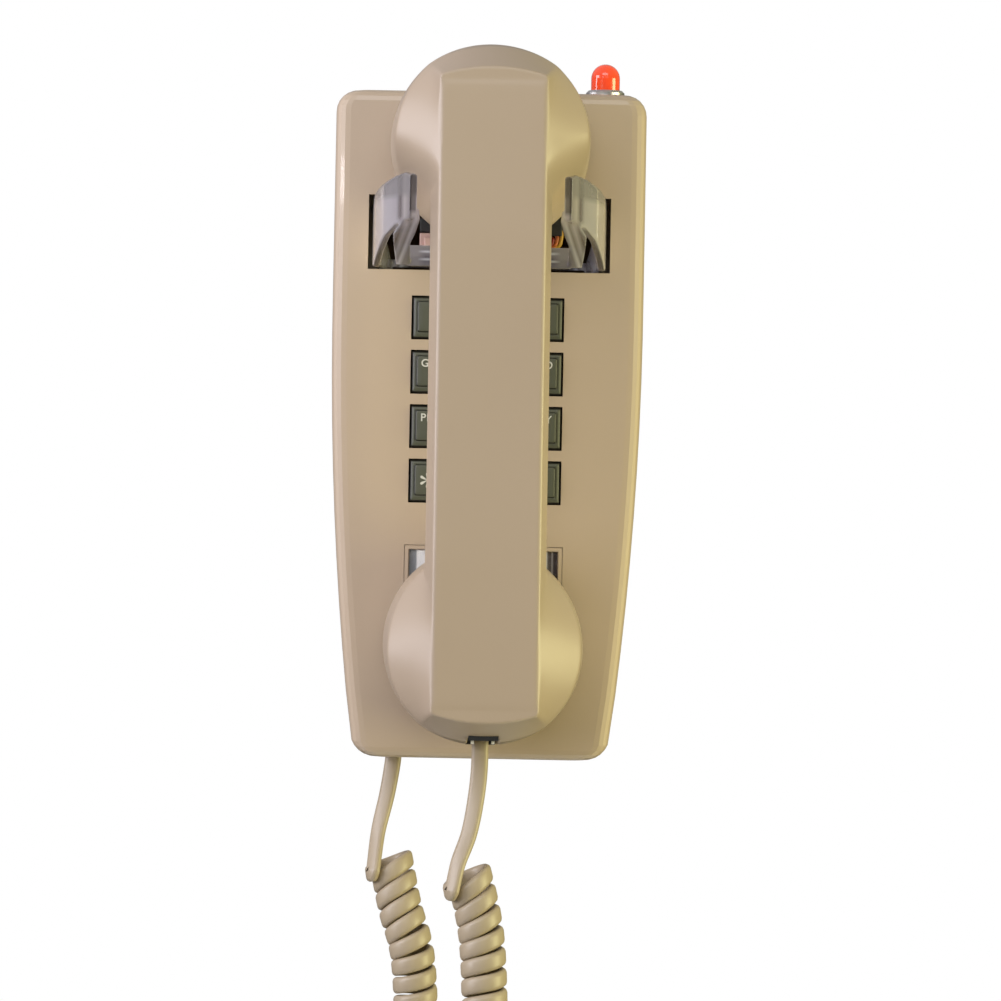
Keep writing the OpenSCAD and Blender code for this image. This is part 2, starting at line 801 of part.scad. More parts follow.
// Ring of the dome at the share s, from the flat's far end on round.
function dome_ring(s, n) = [
    for (k = [0:n - 1])
        let (
            a = 90 + 360 * k / n,
            r = flat_radius(a) + (cap_r - flat_radius(a)) * s,
            h = cap_len + fit + (dome_top - cap_len - fit) * dome_height(s, a)
        )
        [r * cos(a), r * sin(a), h]
];
function round_ring(r, h, n) = [
    for (k = [0:n - 1]) let (a = 90 + 360 * k / n) [r * cos(a), r * sin(a), h]
];
dome_n = 48;

// Bowl with its dome; up is 1 or -1 for the end that the handle doesn't come from.
module bowl(z, up) {
    facing(0, rim_y, z) mirror([0, up > 0 ? 0 : 1, 0])
    skin(concat(
        [for (s = [0, 0.2, 0.45, 0.7, 0.84, 0.92, 0.97, 1]) dome_ring(s, dome_n)],
        [
            round_ring(bowl_r - 0.4, cap_len + fit, dome_n),
            round_ring(bowl_r - 0.4, 5, dome_n)
        ]
    ));
}

// [height, front, back, share of the width] along the handle, from top to bottom.
handle_top = receiver_z + flat_end - flat_curve;
handle_foot = transmitter_z - flat_end + flat_curve;
handle_stations = [
    [handle_top, handset_d - 2.4, rim_y + 20, 0.97],
    [handle_top - 2.5, handset_d - 0.8, rim_y + 20, 0.995],
    [handle_top - 8, handset_d - 0.6, rim_y + 20, 1],
    [receiver_z, handset_d - 0.5, rim_y + 18, 1],
    [receiver_z - 20, handset_d - 0.2, rim_y + 15, 1],
    [receiver_z - 30, handset_d, handle_back - 5, 1],
    [receiver_z - 42, handset_d, handle_back - 0.8, 1],
    [receiver_z - 60, handset_d, handle_back, 1],
    [transmitter_z + 60, handset_d, handle_back, 1],
    [transmitter_z + 42, handset_d, handle_back - 0.8, 1],
    [transmitter_z + 30, handset_d, handle_back - 5, 1],
    [transmitter_z + 20, handset_d - 0.2, rim_y + 15, 1],
    [transmitter_z, handset_d - 0.5, rim_y + 18, 1],
    [handle_foot + 8, handset_d - 0.6, rim_y + 20, 1],
    [handle_foot + 2.5, handset_d - 0.8, rim_y + 20, 0.995],
    [handle_foot, handset_d - 2.4, rim_y + 20, 0.97]
];

function handle_ring(s) =
    let (
        w = handle_w / 2 * s[3],
        m = handle_max_w / 2 * s[3],
        back = -s[2],
        mid = -s[1] + min(handle_t, s[1] - s[2]) * 0.6
    )
    [
        for (p = soft_corners(
            [[-m, mid], [-w, -s[1]], [w, -s[1]], [m, mid], [w * 0.8, back], [-w * 0.8, back]],
            [6, 1.7, 1.7, 6, 6, 6], 5
        )) [p[0], p[1], s[0]]
    ];

jack_slot_w = 9.4;
handset_jack_y = rim_y + 24;

module handset_body() {
    color(shell)
    difference() {
        union() {
            skin([for (s = spline(handle_stations, 2)) handle_ring(s)]);
            bowl(receiver_z, 1);
            bowl(transmitter_z, -1);
        }
        for (z = [receiver_z, transmitter_z])
            facing(0, 0, z) cylinder(r = bowl_r - bowl_t, h = rim_y + bowl_floor);
        block([-jack_slot_w / 2, jack_slot_w / 2], [handset_jack_y - 4, handset_jack_y + 4],
            [transmitter_z - cap_r - 2, handset_plug_z + 15]);
    }
}

cap_holes = [for (k = [1:2]) for (a = [0:360 / (k * 6):359]) [k * 6.2, a]];

module cap(z, rings) {
    facing(0, rim_y, z)
    difference() {
        rotate_extrude($fn = 96)
            polygon([
                [0, 1.6], [20, 1.1], [25, 0.3], [27.5, 0], [cap_r - 1.2, 0.4],
                [cap_r - 0.4, 1.6], [cap_r - 0.1, 3.2], [cap_r - 0.1, cap_len - 0.8],
                [cap_r - 0.5, cap_len - 0.2], [cap_r - 1.2, cap_len], [bowl_r, cap_len],
                [bowl_r, 4.2], [bowl_r - 2, 2.6], [20, 3], [0, 3.5]
            ]);
        translate([0, 0, -1]) cylinder(r = 1.1, h = 6);
        for (h = cap_holes)
            if (h[0] <= rings * 6.2)
                rotate([0, 0, h[1]]) translate([h[0], 0, -1]) cylinder(r = 1.1, h = 6);
    }
}

module receiver_cap() {
    color(shell) cap(receiver_z, 1);
}

module transmitter_cap() {
    color(shell) cap(transmitter_z, 2);
}

module capsule(z) {
    facing(0, rim_y, z)
    rotate_extrude($fn = 64)
        polygon([
            [0, 4.1], [22, 4.1], [bowl_r - 3, 5.2], [bowl_r - 3, 10], [21, 11.5], [12, 12],
            [11, 16.7], [0, 16.7]
        ]);
}

module receiver_unit() {
    color("#777b80") capsule(receiver_z);
}

module transmitter_unit() {
    color("#5f6266") capsule(transmitter_z);
}

// ---- Jacks and plugs of the cord ----

plug_len = 11;
base_plug_z = -half_h + 1.2;
handset_plug_z = transmitter_z - cap_r + 4;

// Hole for a plug that starts at height z.
module plug_hole(x, y, z) {
    block([x - plug_w / 2 - 0.1, x + plug_w / 2 + 0.1],
        [y - plug_t / 2 - 0.1, y + plug_t / 2 + 0.1], [z - 1, z + plug_len + 0.3]);
}

module base_jack() {
    color("#2b2b2b")
    difference() {
        union() {
            block([jack_x - 6.5, jack_x + 6.5], [jack_y - 3.9, jack_y + 3.9],
                [-half_h + wall + 0.3, -half_h + 18]);
            block([jack_x - 6.5, jack_x + 6.5], [jack_y - 6.4, jack_y - 3.8],
                [-half_h + 6, -half_h + 17]);
        }
        plug_hole(jack_x, jack_y, base_plug_z);
    }
}

module handset_jack() {
    color("#2b2b2b")
    difference() {
        block([-jack_slot_w / 2 + 0.1, jack_slot_w / 2 - 0.1],
            [handset_jack_y - 3.9, handset_jack_y + 3.9],
            [handset_plug_z + 0.6, handset_plug_z + 14.8]);
        plug_hole(0, handset_jack_y, handset_plug_z);
    }
}

module plug(x, y, z) {
    block([x - plug_w / 2, x + plug_w / 2], [y - plug_t / 2, y + plug_t / 2],
        [z, z + plug_len]);
}

module base_plug() {
    color([0.85, 0.85, 0.82, 0.6]) plug(jack_x, jack_y, base_plug_z);
}

module handset_plug() {
    color([0.85, 0.85, 0.82, 0.6]) plug(0, handset_jack_y, handset_plug_z);
}

// ---- Curly cord ----

// Axis of the curls: down from the base side, round the hanging bend and up to the handset.
curl_axis = [
    [-28.5, -22, -142], [-25, -25, -158], [-20.5, -27, -174], [-19, -26, -200], [-20, -22, -235],
    [-22, -20, -270], [-20, -25, -300], [-11, -42, -322], [2, -68, -322], [11, -86, -300],
    [12, -90, -270], [8, -86, -235], [4, -81, -200], [2.3, -78, -168], [0.5, -77, -154],
    [-3, -76, -140]
];
curl_turns = 65;
curl_r = 5.9;
// Points per turn.
curl_n = 8;
// Where the wire leaves its first and last turn.
curl_first = 250;
curl_last = 290;
axis_fine = spline(curl_axis, 12);
function run_sum(p, i = 0, s = 0) =
    i >= len(p) - 1 ? [s] : concat([s], run_sum(p, i + 1, s + norm(p[i + 1] - p[i])));
axis_s = run_sum(axis_fine);
axis_len = axis_s[len(axis_s) - 1];
axis_x = [for (i = [0:len(axis_s) - 1]) [axis_s[i], axis_fine[i][0]]];
axis_y = [for (i = [0:len(axis_s) - 1]) [axis_s[i], axis_fine[i][1]]];
axis_z = [for (i = [0:len(axis_s) - 1]) [axis_s[i], axis_fine[i][2]]];
function axis_at(s) = [lookup(s, axis_x), lookup(s, axis_y), lookup(s, axis_z)];
function axis_dir(s) =
    unit(axis_at(min(s + 3, axis_len)) - axis_at(max(s - 3, 0)));
bend_side = unit([46, 22, 0]);

// The turns open a little in the bend, and close up in the hanging legs.
open_bend = 0.06;
function curl_s(t) = axis_len * (t - open_bend * sin(360 * t) / (2 * PI));
curl_points = curl_turns * curl_n;
curl_deg = curl_turns * 360 + curl_last - curl_first;
// The first and last part turn swing out and down into the fold of the leads.
ease_deg = 120;
fold_out = 3.6;
fold_drop = 3.5;
function ease(a) = a >= ease_deg ? 0 : pow(1 - a / ease_deg, 2);
// The turns lean as they hang by one side.
lean = 0.36;
function lean_at(s) = lean * max(0, 1 - min(s, axis_len - s) / 35);

function curl_frame(i) =
    let (
        u = i / curl_points,
        s = curl_s(u),
        a = curl_deg * u,
        t = axis_dir(s),
        side = unit(cross(bend_side, t)),
        other = cross(t, side),
        e = cos(curl_first + a) * side + sin(curl_first + a) * other,
        up = t[2] > 0 ? t : -t,
        fold = ease(a) + ease(curl_deg - a)
    )
    [
        axis_at(s) + (curl_r + fold_out * fold) * e
            + up * (lean_at(s) * curl_r * e[0] - fold_drop * fold),
        e
    ];
curl_wire = [for (i = [0:curl_points]) curl_frame(i)];

// The leads, from each plug to the curls.
base_lead = [
    [jack_x, -jack_y, base_plug_z - fit], [-28.4, -18.4, -112], [-30, -20.5, -122],
    [-32.6, -24, -134]
];
handset_lead = [
    [0, -handset_jack_y, handset_plug_z - fit], [-0.1, -76, -108], [-1.1, -77, -118],
    [-3, -79, -128], [-6.2, -81.4, -137]
];
lead_steps = 3;

function lead_path(pts, first, second) =
    let (
        joined = spline(concat(pts, [first[0], second[0]]), lead_steps),
        n = len(pts) * lead_steps - 1
    )
    [for (i = [0:n - 1]) [joined[i], unit((1 - i / n) * [0, -1, 0] + i / n * first[1])]];

base_wire = lead_path(base_lead, curl_wire[0], curl_wire[1]);
handset_wire = lead_path(handset_lead, curl_wire[curl_points], curl_wire[curl_points - 1]);

// One six-sided ring of the flat cord about c, square to the direction t.
function cord_ring(c, t, out) =
    let (
        w = unit(cross(t, out)),
        e = cross(w, t)
    )
    [
        for (p = [[1, 0], [0.6, 1], [-0.6, 1], [-1, 0], [-0.6, -1], [0.6, -1]])
            c + p[0] * cord_w / 2 * w + p[1] * cord_t / 2 * e
    ];
function cord_rings(wire) = [
    for (i = [0:len(wire) - 1])
        cord_ring(
            wire[i][0],
            unit(wire[min(i + 1, len(wire) - 1)][0] - wire[max(i - 1, 0)][0]),
            wire[i][1]
        )
];
// A lead and the curls meet face to face, halfway round the fold between them.
function fold_dir(wire, second) = unit(second[0] - wire[len(wire) - 1][0]);
base_fold = fold_dir(base_wire, curl_wire[1]);
handset_fold = fold_dir(handset_wire, curl_wire[curl_points - 1]);
function lead_rings(wire, first, t) =
    concat(cord_rings(wire), [cord_ring(first[0] - fit * t, t, first[1])]);

curl_inner = cord_rings(curl_wire);
curl_rings = [
    for (i = [0:curl_points])
        i == 0 ? cord_ring(curl_wire[0][0], base_fold, curl_wire[0][1])
        : i == curl_points ? cord_ring(curl_wire[i][0], -handset_fold, curl_wire[i][1])
        : curl_inner[i]
];
function ring_gap(a, b) = min([for (p = a) for (q = b) norm(p - q)]);
least_gap = min([
    for (i = [0:curl_points - 9]) for (k = [7:9]) ring_gap(curl_rings[i], curl_rings[i + k])
]);
wire_len = run_sum([for (w = concat(base_wire, curl_wire)) w[0]])[
    len(base_wire) + len(curl_wire) - 1
];
union() {  // cord_curl
    echo(least_gap = least_gap);
    echo(cord_length = wire_len);
}

module cord_base_lead() {
    color(shell) skin(lead_rings(base_wire, curl_wire[0], base_fold));
}

module cord_curl() {
    color(shell) skin(curl_rings);
}

module cord_handset_lead() {
    color(shell) skin(lead_rings(handset_wire, curl_wire[curl_points], handset_fold));
}

base_plate();
housing();
cover_screw();
hook_bracket();
hook_pin();
hook_spring();
hook_switch();
switch_plunger();
hook_cradle();
dial_frame();
dial_screws();
dial_pad();
dial_board();
key(0, 0);  // key_1
key(1, 0);  // key_2
key(2, 0);  // key_3
key(0, 1);  // key_4
key(1, 1);  // key_5
key(2, 1);  // key_6
key(0, 2);  // key_7
key(1, 2);  // key_8
key(2, 2);  // key_9
key(0, 3);  // key_star
key(1, 3);  // key_0
key(2, 3);  // key_pound
card_frame();
number_card();
card_window();
line_board();
wall_plug();
ringer_frame();
ringer_coil();
clapper();
gong();
gong_screw();
lamp_bezel();
lamp_lens();
lamp_bulb();
lamp_nut();
handset_body();
receiver_cap();
receiver_unit();
transmitter_cap();
transmitter_unit();
handset_jack();
base_jack();
base_plug();
handset_plug();
cord_base_lead();
cord_curl();
cord_handset_lead();
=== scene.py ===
"""Slimline wall phone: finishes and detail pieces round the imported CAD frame."""

import math

import bmesh
import bpy
from mathutils import Matrix, Vector


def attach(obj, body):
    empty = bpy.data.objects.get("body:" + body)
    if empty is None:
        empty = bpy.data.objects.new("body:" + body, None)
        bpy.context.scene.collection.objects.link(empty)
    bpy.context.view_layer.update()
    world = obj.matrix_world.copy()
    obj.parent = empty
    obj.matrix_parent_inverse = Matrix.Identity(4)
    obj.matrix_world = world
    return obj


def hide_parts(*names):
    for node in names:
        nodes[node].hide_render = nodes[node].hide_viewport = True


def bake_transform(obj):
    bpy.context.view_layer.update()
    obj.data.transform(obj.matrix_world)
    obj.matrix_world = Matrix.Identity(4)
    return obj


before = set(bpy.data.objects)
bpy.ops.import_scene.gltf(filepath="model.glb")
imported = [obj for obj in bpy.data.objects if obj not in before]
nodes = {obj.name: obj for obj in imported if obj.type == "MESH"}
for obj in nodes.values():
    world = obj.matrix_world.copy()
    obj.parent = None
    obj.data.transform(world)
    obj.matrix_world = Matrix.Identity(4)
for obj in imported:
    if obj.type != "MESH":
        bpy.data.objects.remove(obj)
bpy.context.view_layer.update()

MM = 0.001


# ---- Camera ----

IMAGE_SIZE = 1001
SENSOR = 36.0
# Distance from the camera to the housing's front, and the photograph's scale there.
CAMERA_DISTANCE = 1.25
FRONT_Y = -0.050
PIXELS_PER_MM = 3.116
# Where the middle of the housing lies in the picture, and the roll of the phone there.
HOUSING_PIXEL = (485.8, 425.6)
PHONE_ROLL = math.radians(1.1)
# Place of the camera beside and above the middle of the housing.
CAMERA_X = -0.006
CAMERA_Z = 0.008


def make_camera():
    data = bpy.data.cameras.new("camera")
    data.sensor_width = SENSOR
    data.lens = PIXELS_PER_MM * 1000 * CAMERA_DISTANCE * SENSOR / IMAGE_SIZE
    data.clip_end = 20
    c, s = math.cos(PHONE_ROLL), math.sin(PHONE_ROLL)
    # The housing's middle seen from the camera, in pictures' widths.
    scale = PIXELS_PER_MM * 1000 / IMAGE_SIZE
    seen_x = (-CAMERA_X * c - CAMERA_Z * s) * scale
    seen_y = (CAMERA_X * s - CAMERA_Z * c) * scale
    data.shift_x = 0.5 + seen_x - HOUSING_PIXEL[0] / IMAGE_SIZE
    data.shift_y = seen_y - 0.5 + HOUSING_PIXEL[1] / IMAGE_SIZE
    camera = bpy.data.objects.new("camera", data)
    bpy.context.scene.collection.objects.link(camera)
    camera.matrix_world = (
        Matrix.Translation((CAMERA_X, FRONT_Y - CAMERA_DISTANCE, CAMERA_Z))
        @ Matrix.Rotation(-PHONE_ROLL, 4, "Y")
        @ Matrix.Rotation(math.pi / 2, 4, "X")
    )
    bpy.context.scene.camera = camera


make_camera()


# ---- Curly cord: the route and the curls are those of the CAD model ----

CORD_W = 5.4 * MM
CORD_T = 2.7 * MM
CURL_AXIS = [
    (-28.5, -22, -142), (-25, -25, -158), (-20.5, -27, -174), (-19, -26, -200),
    (-20, -22, -235), (-22, -20, -270), (-20, -25, -300), (-11, -42, -322),
    (2, -68, -322), (11, -86, -300), (12, -90, -270), (8, -86, -235), (4, -81, -200),
    (2.3, -78, -168), (0.5, -77, -154), (-3, -76, -140),
]
CURL_TURNS = 65
CURL_R = 5.9
CURL_FIRST = 250
CURL_LAST = 290
OPEN_BEND = 0.06
# The first and last part turn swing out and down into the fold of the leads.
EASE_DEG = 120
FOLD_OUT = 3.6
FOLD_DROP = 3.5
LEAN = 0.36
LEAN_LENGTH = 35
BASE_LEAD = [
    (-28, -18, -106.6), (-28.4, -18.4, -112), (-30, -20.5, -122), (-32.6, -24, -134),
]
HANDSET_LEAD = [
    (0, -75.8, -97.1), (-0.1, -76, -108), (-1.1, -77, -118), (-3, -79, -128),
    (-6.2, -81.4, -137),
]
BEND_SIDE = Vector((46, 22, 0)).normalized()
RINGS_PER_TURN = 28
LEAD_STEPS = 14


def spline(points, steps):
    """Catmull-Rom curve through the points."""
    pts = [Vector(p) for p in points]
    pts = [2 * pts[0] - pts[1]] + pts + [2 * pts[-1] - pts[-2]]
    out = []
    for a, b, c, d in zip(pts, pts[1:], pts[2:], pts[3:]):
        for k in range(steps):
            t = k / steps
            out.append(
                0.5 * (2 * b + (c - a) * t + (2 * a - 5 * b + 4 * c - d) * t * t
                       + (3 * b - 3 * c + d - a) * t ** 3)
            )
    out.append(pts[-2])
    return out


class Axis:
    """The line that the curls go round, by distance along it."""

    def __init__(self, points):
        self.points = spline(points, 12)
        self.along = [0.0]
        for a, b in zip(self.points, self.points[1:]):
            self.along.append(self.along[-1] + (b - a).length)
        self.length = self.along[-1]

    def at(self, s):
        s = min(max(s, 0), self.length)
        i = 1
        while i < len(self.along) - 1 and self.along[i] < s:
            i += 1
        t = (s - self.along[i - 1]) / (self.along[i] - self.along[i - 1])
        return self.points[i - 1].lerp(self.points[i], t)

    def direction(self, s):
        return (self.at(s + 3) - self.at(s - 3)).normalized()


def ease(angle):
    return 0 if angle >= EASE_DEG else (1 - angle / EASE_DEG) ** 2


def curl_wire(rings_per_turn):
    """Points of the wire through its curls, each with the direction out of its curl."""
    axis = Axis(CURL_AXIS)
    count = CURL_TURNS * rings_per_turn
    turn = CURL_TURNS * 360 + CURL_LAST - CURL_FIRST
    wire = []
    for i in range(count + 1):
        u = i / count
        s = axis.length * (u - OPEN_BEND * math.sin(2 * math.pi * u) / (2 * math.pi))
        a = turn * u
        t = axis.direction(s)
        side = BEND_SIDE.cross(t).normalized()
        other = t.cross(side)
        angle = math.radians(CURL_FIRST + a)
        out = math.cos(angle) * side + math.sin(angle) * other
        up = t if t.z > 0 else -t
        lean = LEAN * max(0, 1 - min(s, axis.length - s) / LEAN_LENGTH)
        fold = ease(a) + ease(turn - a)
        rise = lean * CURL_R * out.x - FOLD_DROP * fold
        wire.append((axis.at(s) + (CURL_R + FOLD_OUT * fold) * out + up * rise, out))
    return wire


def lead_wire(points, first, second):
    joined = spline(list(points) + [first[0], second[0]], LEAD_STEPS)
    n = len(points) * LEAD_STEPS
    front = Vector((0, -1, 0))
    return [(joined[i], front.lerp(first[1], i / n).normalized()) for i in range(n)]


def flat_section(w, t, n=5):
    """Outline of the flat cord: two straight sides and round edges."""
    r = t / 2
    pts = []
    for cx, start in ((w / 2 - r, -90), (-(w / 2 - r), 90)):
        for k in range(n + 1):
            a = math.radians(start + 180 * k / n)
            pts.append((cx + r * math.cos(a), r * math.sin(a)))
    return pts


def make_cord():
    curls = curl_wire(RINGS_PER_TURN)
    base = lead_wire(BASE_LEAD, curls[0], curls[1])
    hand = lead_wire(HANDSET_LEAD, curls[-1], curls[-2])
    wire = base + curls + hand[::-1]
    wire = [(p * MM, e) for p, e in wire]
    section = flat_section(CORD_W, CORD_T)
    bm = bmesh.new()
    rings = []
    for i, (p, e) in enumerate(wire):
        t = (wire[min(i + 1, len(wire) - 1)][0] - wire[max(i - 1, 0)][0]).normalized()
        w = t.cross(e).normalized()
        out = w.cross(t)
        rings.append([bm.verts.new(p + w * a + out * b) for a, b in section])
    n = len(section)
    for r0, r1 in zip(rings, rings[1:]):
        for j in range(n):
            bm.faces.new((r0[j], r0[(j + 1) % n], r1[(j + 1) % n], r1[j]))
    bm.faces.new(rings[0][::-1])
    bm.faces.new(rings[-1])
    bmesh.ops.recalc_face_normals(bm, faces=bm.faces)
    mesh = bpy.data.meshes.new("curly_cord")
    bm.to_mesh(mesh)
    bm.free()
    for f in mesh.polygons:
        f.use_smooth = True
    cord = bpy.data.objects.new("curly_cord", mesh)
    bpy.context.scene.collection.objects.link(cord)
    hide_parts("cord_base_lead", "cord_curl", "cord_handset_lead")
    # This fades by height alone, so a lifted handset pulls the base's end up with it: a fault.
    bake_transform(cord)
    return cord


cord = make_cord()


# ---- Sizes of the CAD model that the pieces below are made from, in millimetres ----

HALF_H = 107.5
HOUSING_D = 50
CROWN = 3
OPENING_Z = 49.6
PIN_Y = 15
PIN_Z = 43
CRADLE_T = 2.6
ARM_X = 32.6
KEY_PITCH = 17.46
KEY_SIDE = 13.4
KEY_BACK = 44.3
TOP_ROW_Z = 34.3
KEY_PROUD = 1.1
WINDOW_W = 48.2
WINDOW_H = 13
WINDOW_Z = -40
CARD_BACK = 48
CARD_T = 0.22
CARD_GAP = 0.3
RECEIVER_Z = 88.9
TRANSMITTER_Z = -69.3
CAP_R = 31.5
CAP_LEN = 12
HANDLE_W = 33.4
HANDLE_MAX_W = 39.2
HANDLE_T = 26
HANDSET_D = 104
CAP_GAP = 1.8
RIM_Y = HOUSING_D + CAP_GAP
BOWL_R = CAP_R - 2.9
# The bowl's skirt inside its cap: where it ends, and the gap and wall round it.
SKIRT_DEPTH = 8
SKIRT_GAP = 0.4
SKIRT_WALL = 2.2
HOLLOW_DEPTH = 17


def front_y(z):
    return HOUSING_D - CROWN * (z / HALF_H) ** 2


# ---- Mesh helpers ----


def link_mesh(name, bm, smooth=True):
    bmesh.ops.recalc_face_normals(bm, faces=bm.faces)
    mesh = bpy.data.meshes.new(name)
    bm.to_mesh(mesh)
    bm.free()
    for face in mesh.polygons:
        face.use_smooth = smooth
    obj = bpy.data.objects.new(name, mesh)
    bpy.context.scene.collection.objects.link(obj)
    return obj


def loft(name, rings, smooth=True):
    """Closed solid through rings of equally many points, given in millimetres."""
    bm = bmesh.new()
    made = [[bm.verts.new(Vector(p) * MM) for p in ring] for ring in rings]
    n = len(made[0])
    for r0, r1 in zip(made, made[1:]):
        for j in range(n):
            bm.faces.new((r0[j], r0[(j + 1) % n], r1[(j + 1) % n], r1[j]))
    bm.faces.new(made[0][::-1])
    bm.faces.new(made[-1])
    return link_mesh(name, bm, smooth)


# Radius at which a turned solid starts, just off its axis.
AXIS_R = 0.01


def lathe(name, profile, centre, segments=128):
    """Solid of revolution about an axis towards -Y; profile is (distance, radius)."""
    cx, cy, cz = centre
    rings = []
    for d, r in profile:
        rings.append([
            (cx + r * math.cos(a), -(cy + d), cz + r * math.sin(a))
            for a in (2 * math.pi * k / segments for k in range(segments))
        ])
    return loft(name, rings)


def box(name, x, y, z):
    """Box from [from, to] along each axis, y measured from the wall."""
    rings = [
        [(x[0], -y[0], h), (x[1], -y[0], h), (x[1], -y[1], h), (x[0], -y[1], h)] for h in z
    ]
    return loft(name, rings, smooth=False)


def soft_corners(points, cuts, n):
    out = []
    for i, p in enumerate(points):
        p = Vector(p)
        a = Vector(points[i - 1])
        b = Vector(points[(i + 1) % len(points)])
        pa = p + (a - p) * min(cuts[i] / (a - p).length, 0.45)
        pb = p + (b - p) * min(cuts[i] / (b - p).length, 0.45)
        for k in range(n):
            t = k / (n - 1)
            out.append((1 - t) ** 2 * pa + 2 * t * (1 - t) * p + t * t * pb)
    return out


def apply_modifiers(obj):
    graph = bpy.context.evaluated_depsgraph_get()
    mesh = bpy.data.meshes.new_from_object(obj.evaluated_get(graph))
    obj.modifiers.clear()
    old = obj.data
    obj.data = mesh
    bpy.data.meshes.remove(old)


def combine(obj, operation, others):
    """Joins the others to obj or cuts them from it, and removes them."""
    for other in others:
        mod = obj.modifiers.new("combine", "BOOLEAN")
        mod.operation = operation
        mod.solver = "EXACT"
        mod.object = other
    apply_modifiers(obj)
    for other in others:
        bpy.data.objects.remove(other)


def soften(obj, voxel, rounds):
    """Rebuilds the surface evenly and rounds its edges and inner corners."""
    mod = obj.modifiers.new("remesh", "REMESH")
    mod.mode = "VOXEL"
    mod.voxel_size = voxel * MM
    mod.use_smooth_shade = True
    smooth = obj.modifiers.new("smooth", "SMOOTH")
    smooth.factor = 0.5
    smooth.iterations = rounds
    apply_modifiers(obj)
    for face in obj.data.polygons:
        face.use_smooth = True


# ---- Handset: handle and bowls as one smooth moulding ----


# Flat front over a bowl: its length beyond the bowl's centre, and how far the end of it
# curves back at the edges of the handle.
FLAT_END = 22
FLAT_CURVE = 2.7
FLAT_W = HANDLE_W / 2
# Depths beyond the rims of the caps at which the domes start and end.
DOME_FOOT = CAP_LEN + 0.3
DOME_TOP = HANDSET_D - 1 - RIM_Y
DOME_SHARES = [1 - (1 - k / 40) ** 1.6 for k in range(41)]


def flat_radius(a):
    """Radius of the flat in the direction a; it runs on into the handle at -90 degrees."""
    c, s = math.cos(a), math.sin(a)
    k = FLAT_CURVE * (c / FLAT_W) ** 2
    end = FLAT_END
    if k >= 0.0001:
        end = (math.sqrt(s * s + 4 * k * FLAT_END) - s) / (2 * k)
    return min(FLAT_W / max(0.01, abs(c)), end if s > 0 else CAP_R - 1)


def dome_height(share, a, low_side):
    """Height of the dome as a share of its full height, a share of the way out to the rim.

    A straight flank runs to a round shoulder; where low_side is 1, a low slope on the
    handle's side leaves room for the ears of the cradle.
    """
    upper = max(0, math.sin(a)) ** 4
    lower = min(1, max(0, 0.1 - math.sin(a)) / 0.8)
    lower *= lower * (3 - 2 * lower)
    turn = 0.9 - 0.17 * upper
    flank = 1 - (0.35 + 0.1 * upper) * share
    past = max(0, share - turn) / (1 - turn)
    shoulder = max(0, 1 - past ** 2) ** (0.5 + 0.05 * upper)
    bulge = (1.15 + 1.05 * math.cos(a) ** 2) * (1 + 0.7 * min(0, math.sin(a)))
    lower *= low_side
    return (1 - lower) * flank * shoulder + lower * (1 - share ** bulge) ** 0.92


def dome_point(share, a, low_side):
    r = flat_radius(a) + (CAP_R - flat_radius(a)) * share
    depth = DOME_FOOT + (DOME_TOP - DOME_FOOT) * dome_height(share, a, low_side)
    return r * math.cos(a), depth, r * math.sin(a)


def bowl(z, up, low_side, n=144):
    """Bowl with its dome, which lies above its centre where up is 1 and below it where -1."""
    angles = [2 * math.pi * k / n for k in range(n)]
    rings = [[dome_point(share, a, low_side) for a in angles] for share in DOME_SHARES]
    for depth in (DOME_FOOT, SKIRT_DEPTH):
        r = BOWL_R - SKIRT_GAP
        rings.append([(r * math.cos(a), depth, r * math.sin(a)) for a in angles])
    return loft("bowl", [[(x, -(RIM_Y + h), z + up * v) for x, h, v in ring] for ring in rings])


def hollow(z):
    r = BOWL_R - SKIRT_WALL
    profile = [(-5, AXIS_R), (-5, r), (HOLLOW_DEPTH, r), (HOLLOW_DEPTH, AXIS_R)]
    return lathe("hollow", profile, (0, RIM_Y, z))


HANDLE_TOP = RECEIVER_Z + FLAT_END - FLAT_CURVE
HANDLE_FOOT = TRANSMITTER_Z - FLAT_END + FLAT_CURVE
HANDLE_BACK = HANDSET_D - HANDLE_T
# Height, front, back and share of the width along the handle, from top to bottom.
HANDLE_STATIONS = [
    (HANDLE_TOP, HANDSET_D - 1.3, RIM_Y + 20, 0.98),
    (HANDLE_TOP - 2.5, HANDSET_D - 0.85, RIM_Y + 20, 0.995),
    (HANDLE_TOP - 8, HANDSET_D - 0.7, RIM_Y + 20, 1),
    (RECEIVER_Z, HANDSET_D - 0.5, RIM_Y + 18, 1),
    (RECEIVER_Z - 20, HANDSET_D - 0.2, RIM_Y + 15, 1),
    (RECEIVER_Z - 30, HANDSET_D, HANDLE_BACK - 5, 1),
    (RECEIVER_Z - 42, HANDSET_D, HANDLE_BACK - 0.8, 1),
    (RECEIVER_Z - 60, HANDSET_D, HANDLE_BACK, 1),
    (TRANSMITTER_Z + 60, HANDSET_D, HANDLE_BACK, 1),
    (TRANSMITTER_Z + 42, HANDSET_D, HANDLE_BACK - 0.8, 1),
    (TRANSMITTER_Z + 30, HANDSET_D, HANDLE_BACK - 5, 1),
    (TRANSMITTER_Z + 20, HANDSET_D - 0.2, RIM_Y + 15, 1),
    (TRANSMITTER_Z, HANDSET_D - 0.5, RIM_Y + 18, 1),
    (HANDLE_FOOT + 8, HANDSET_D - 0.7, RIM_Y + 20, 1),
    (HANDLE_FOOT + 2.5, HANDSET_D - 0.85, RIM_Y + 20, 0.995),
    (HANDLE_FOOT, HANDSET_D - 1.3, RIM_Y + 20, 0.98),
]
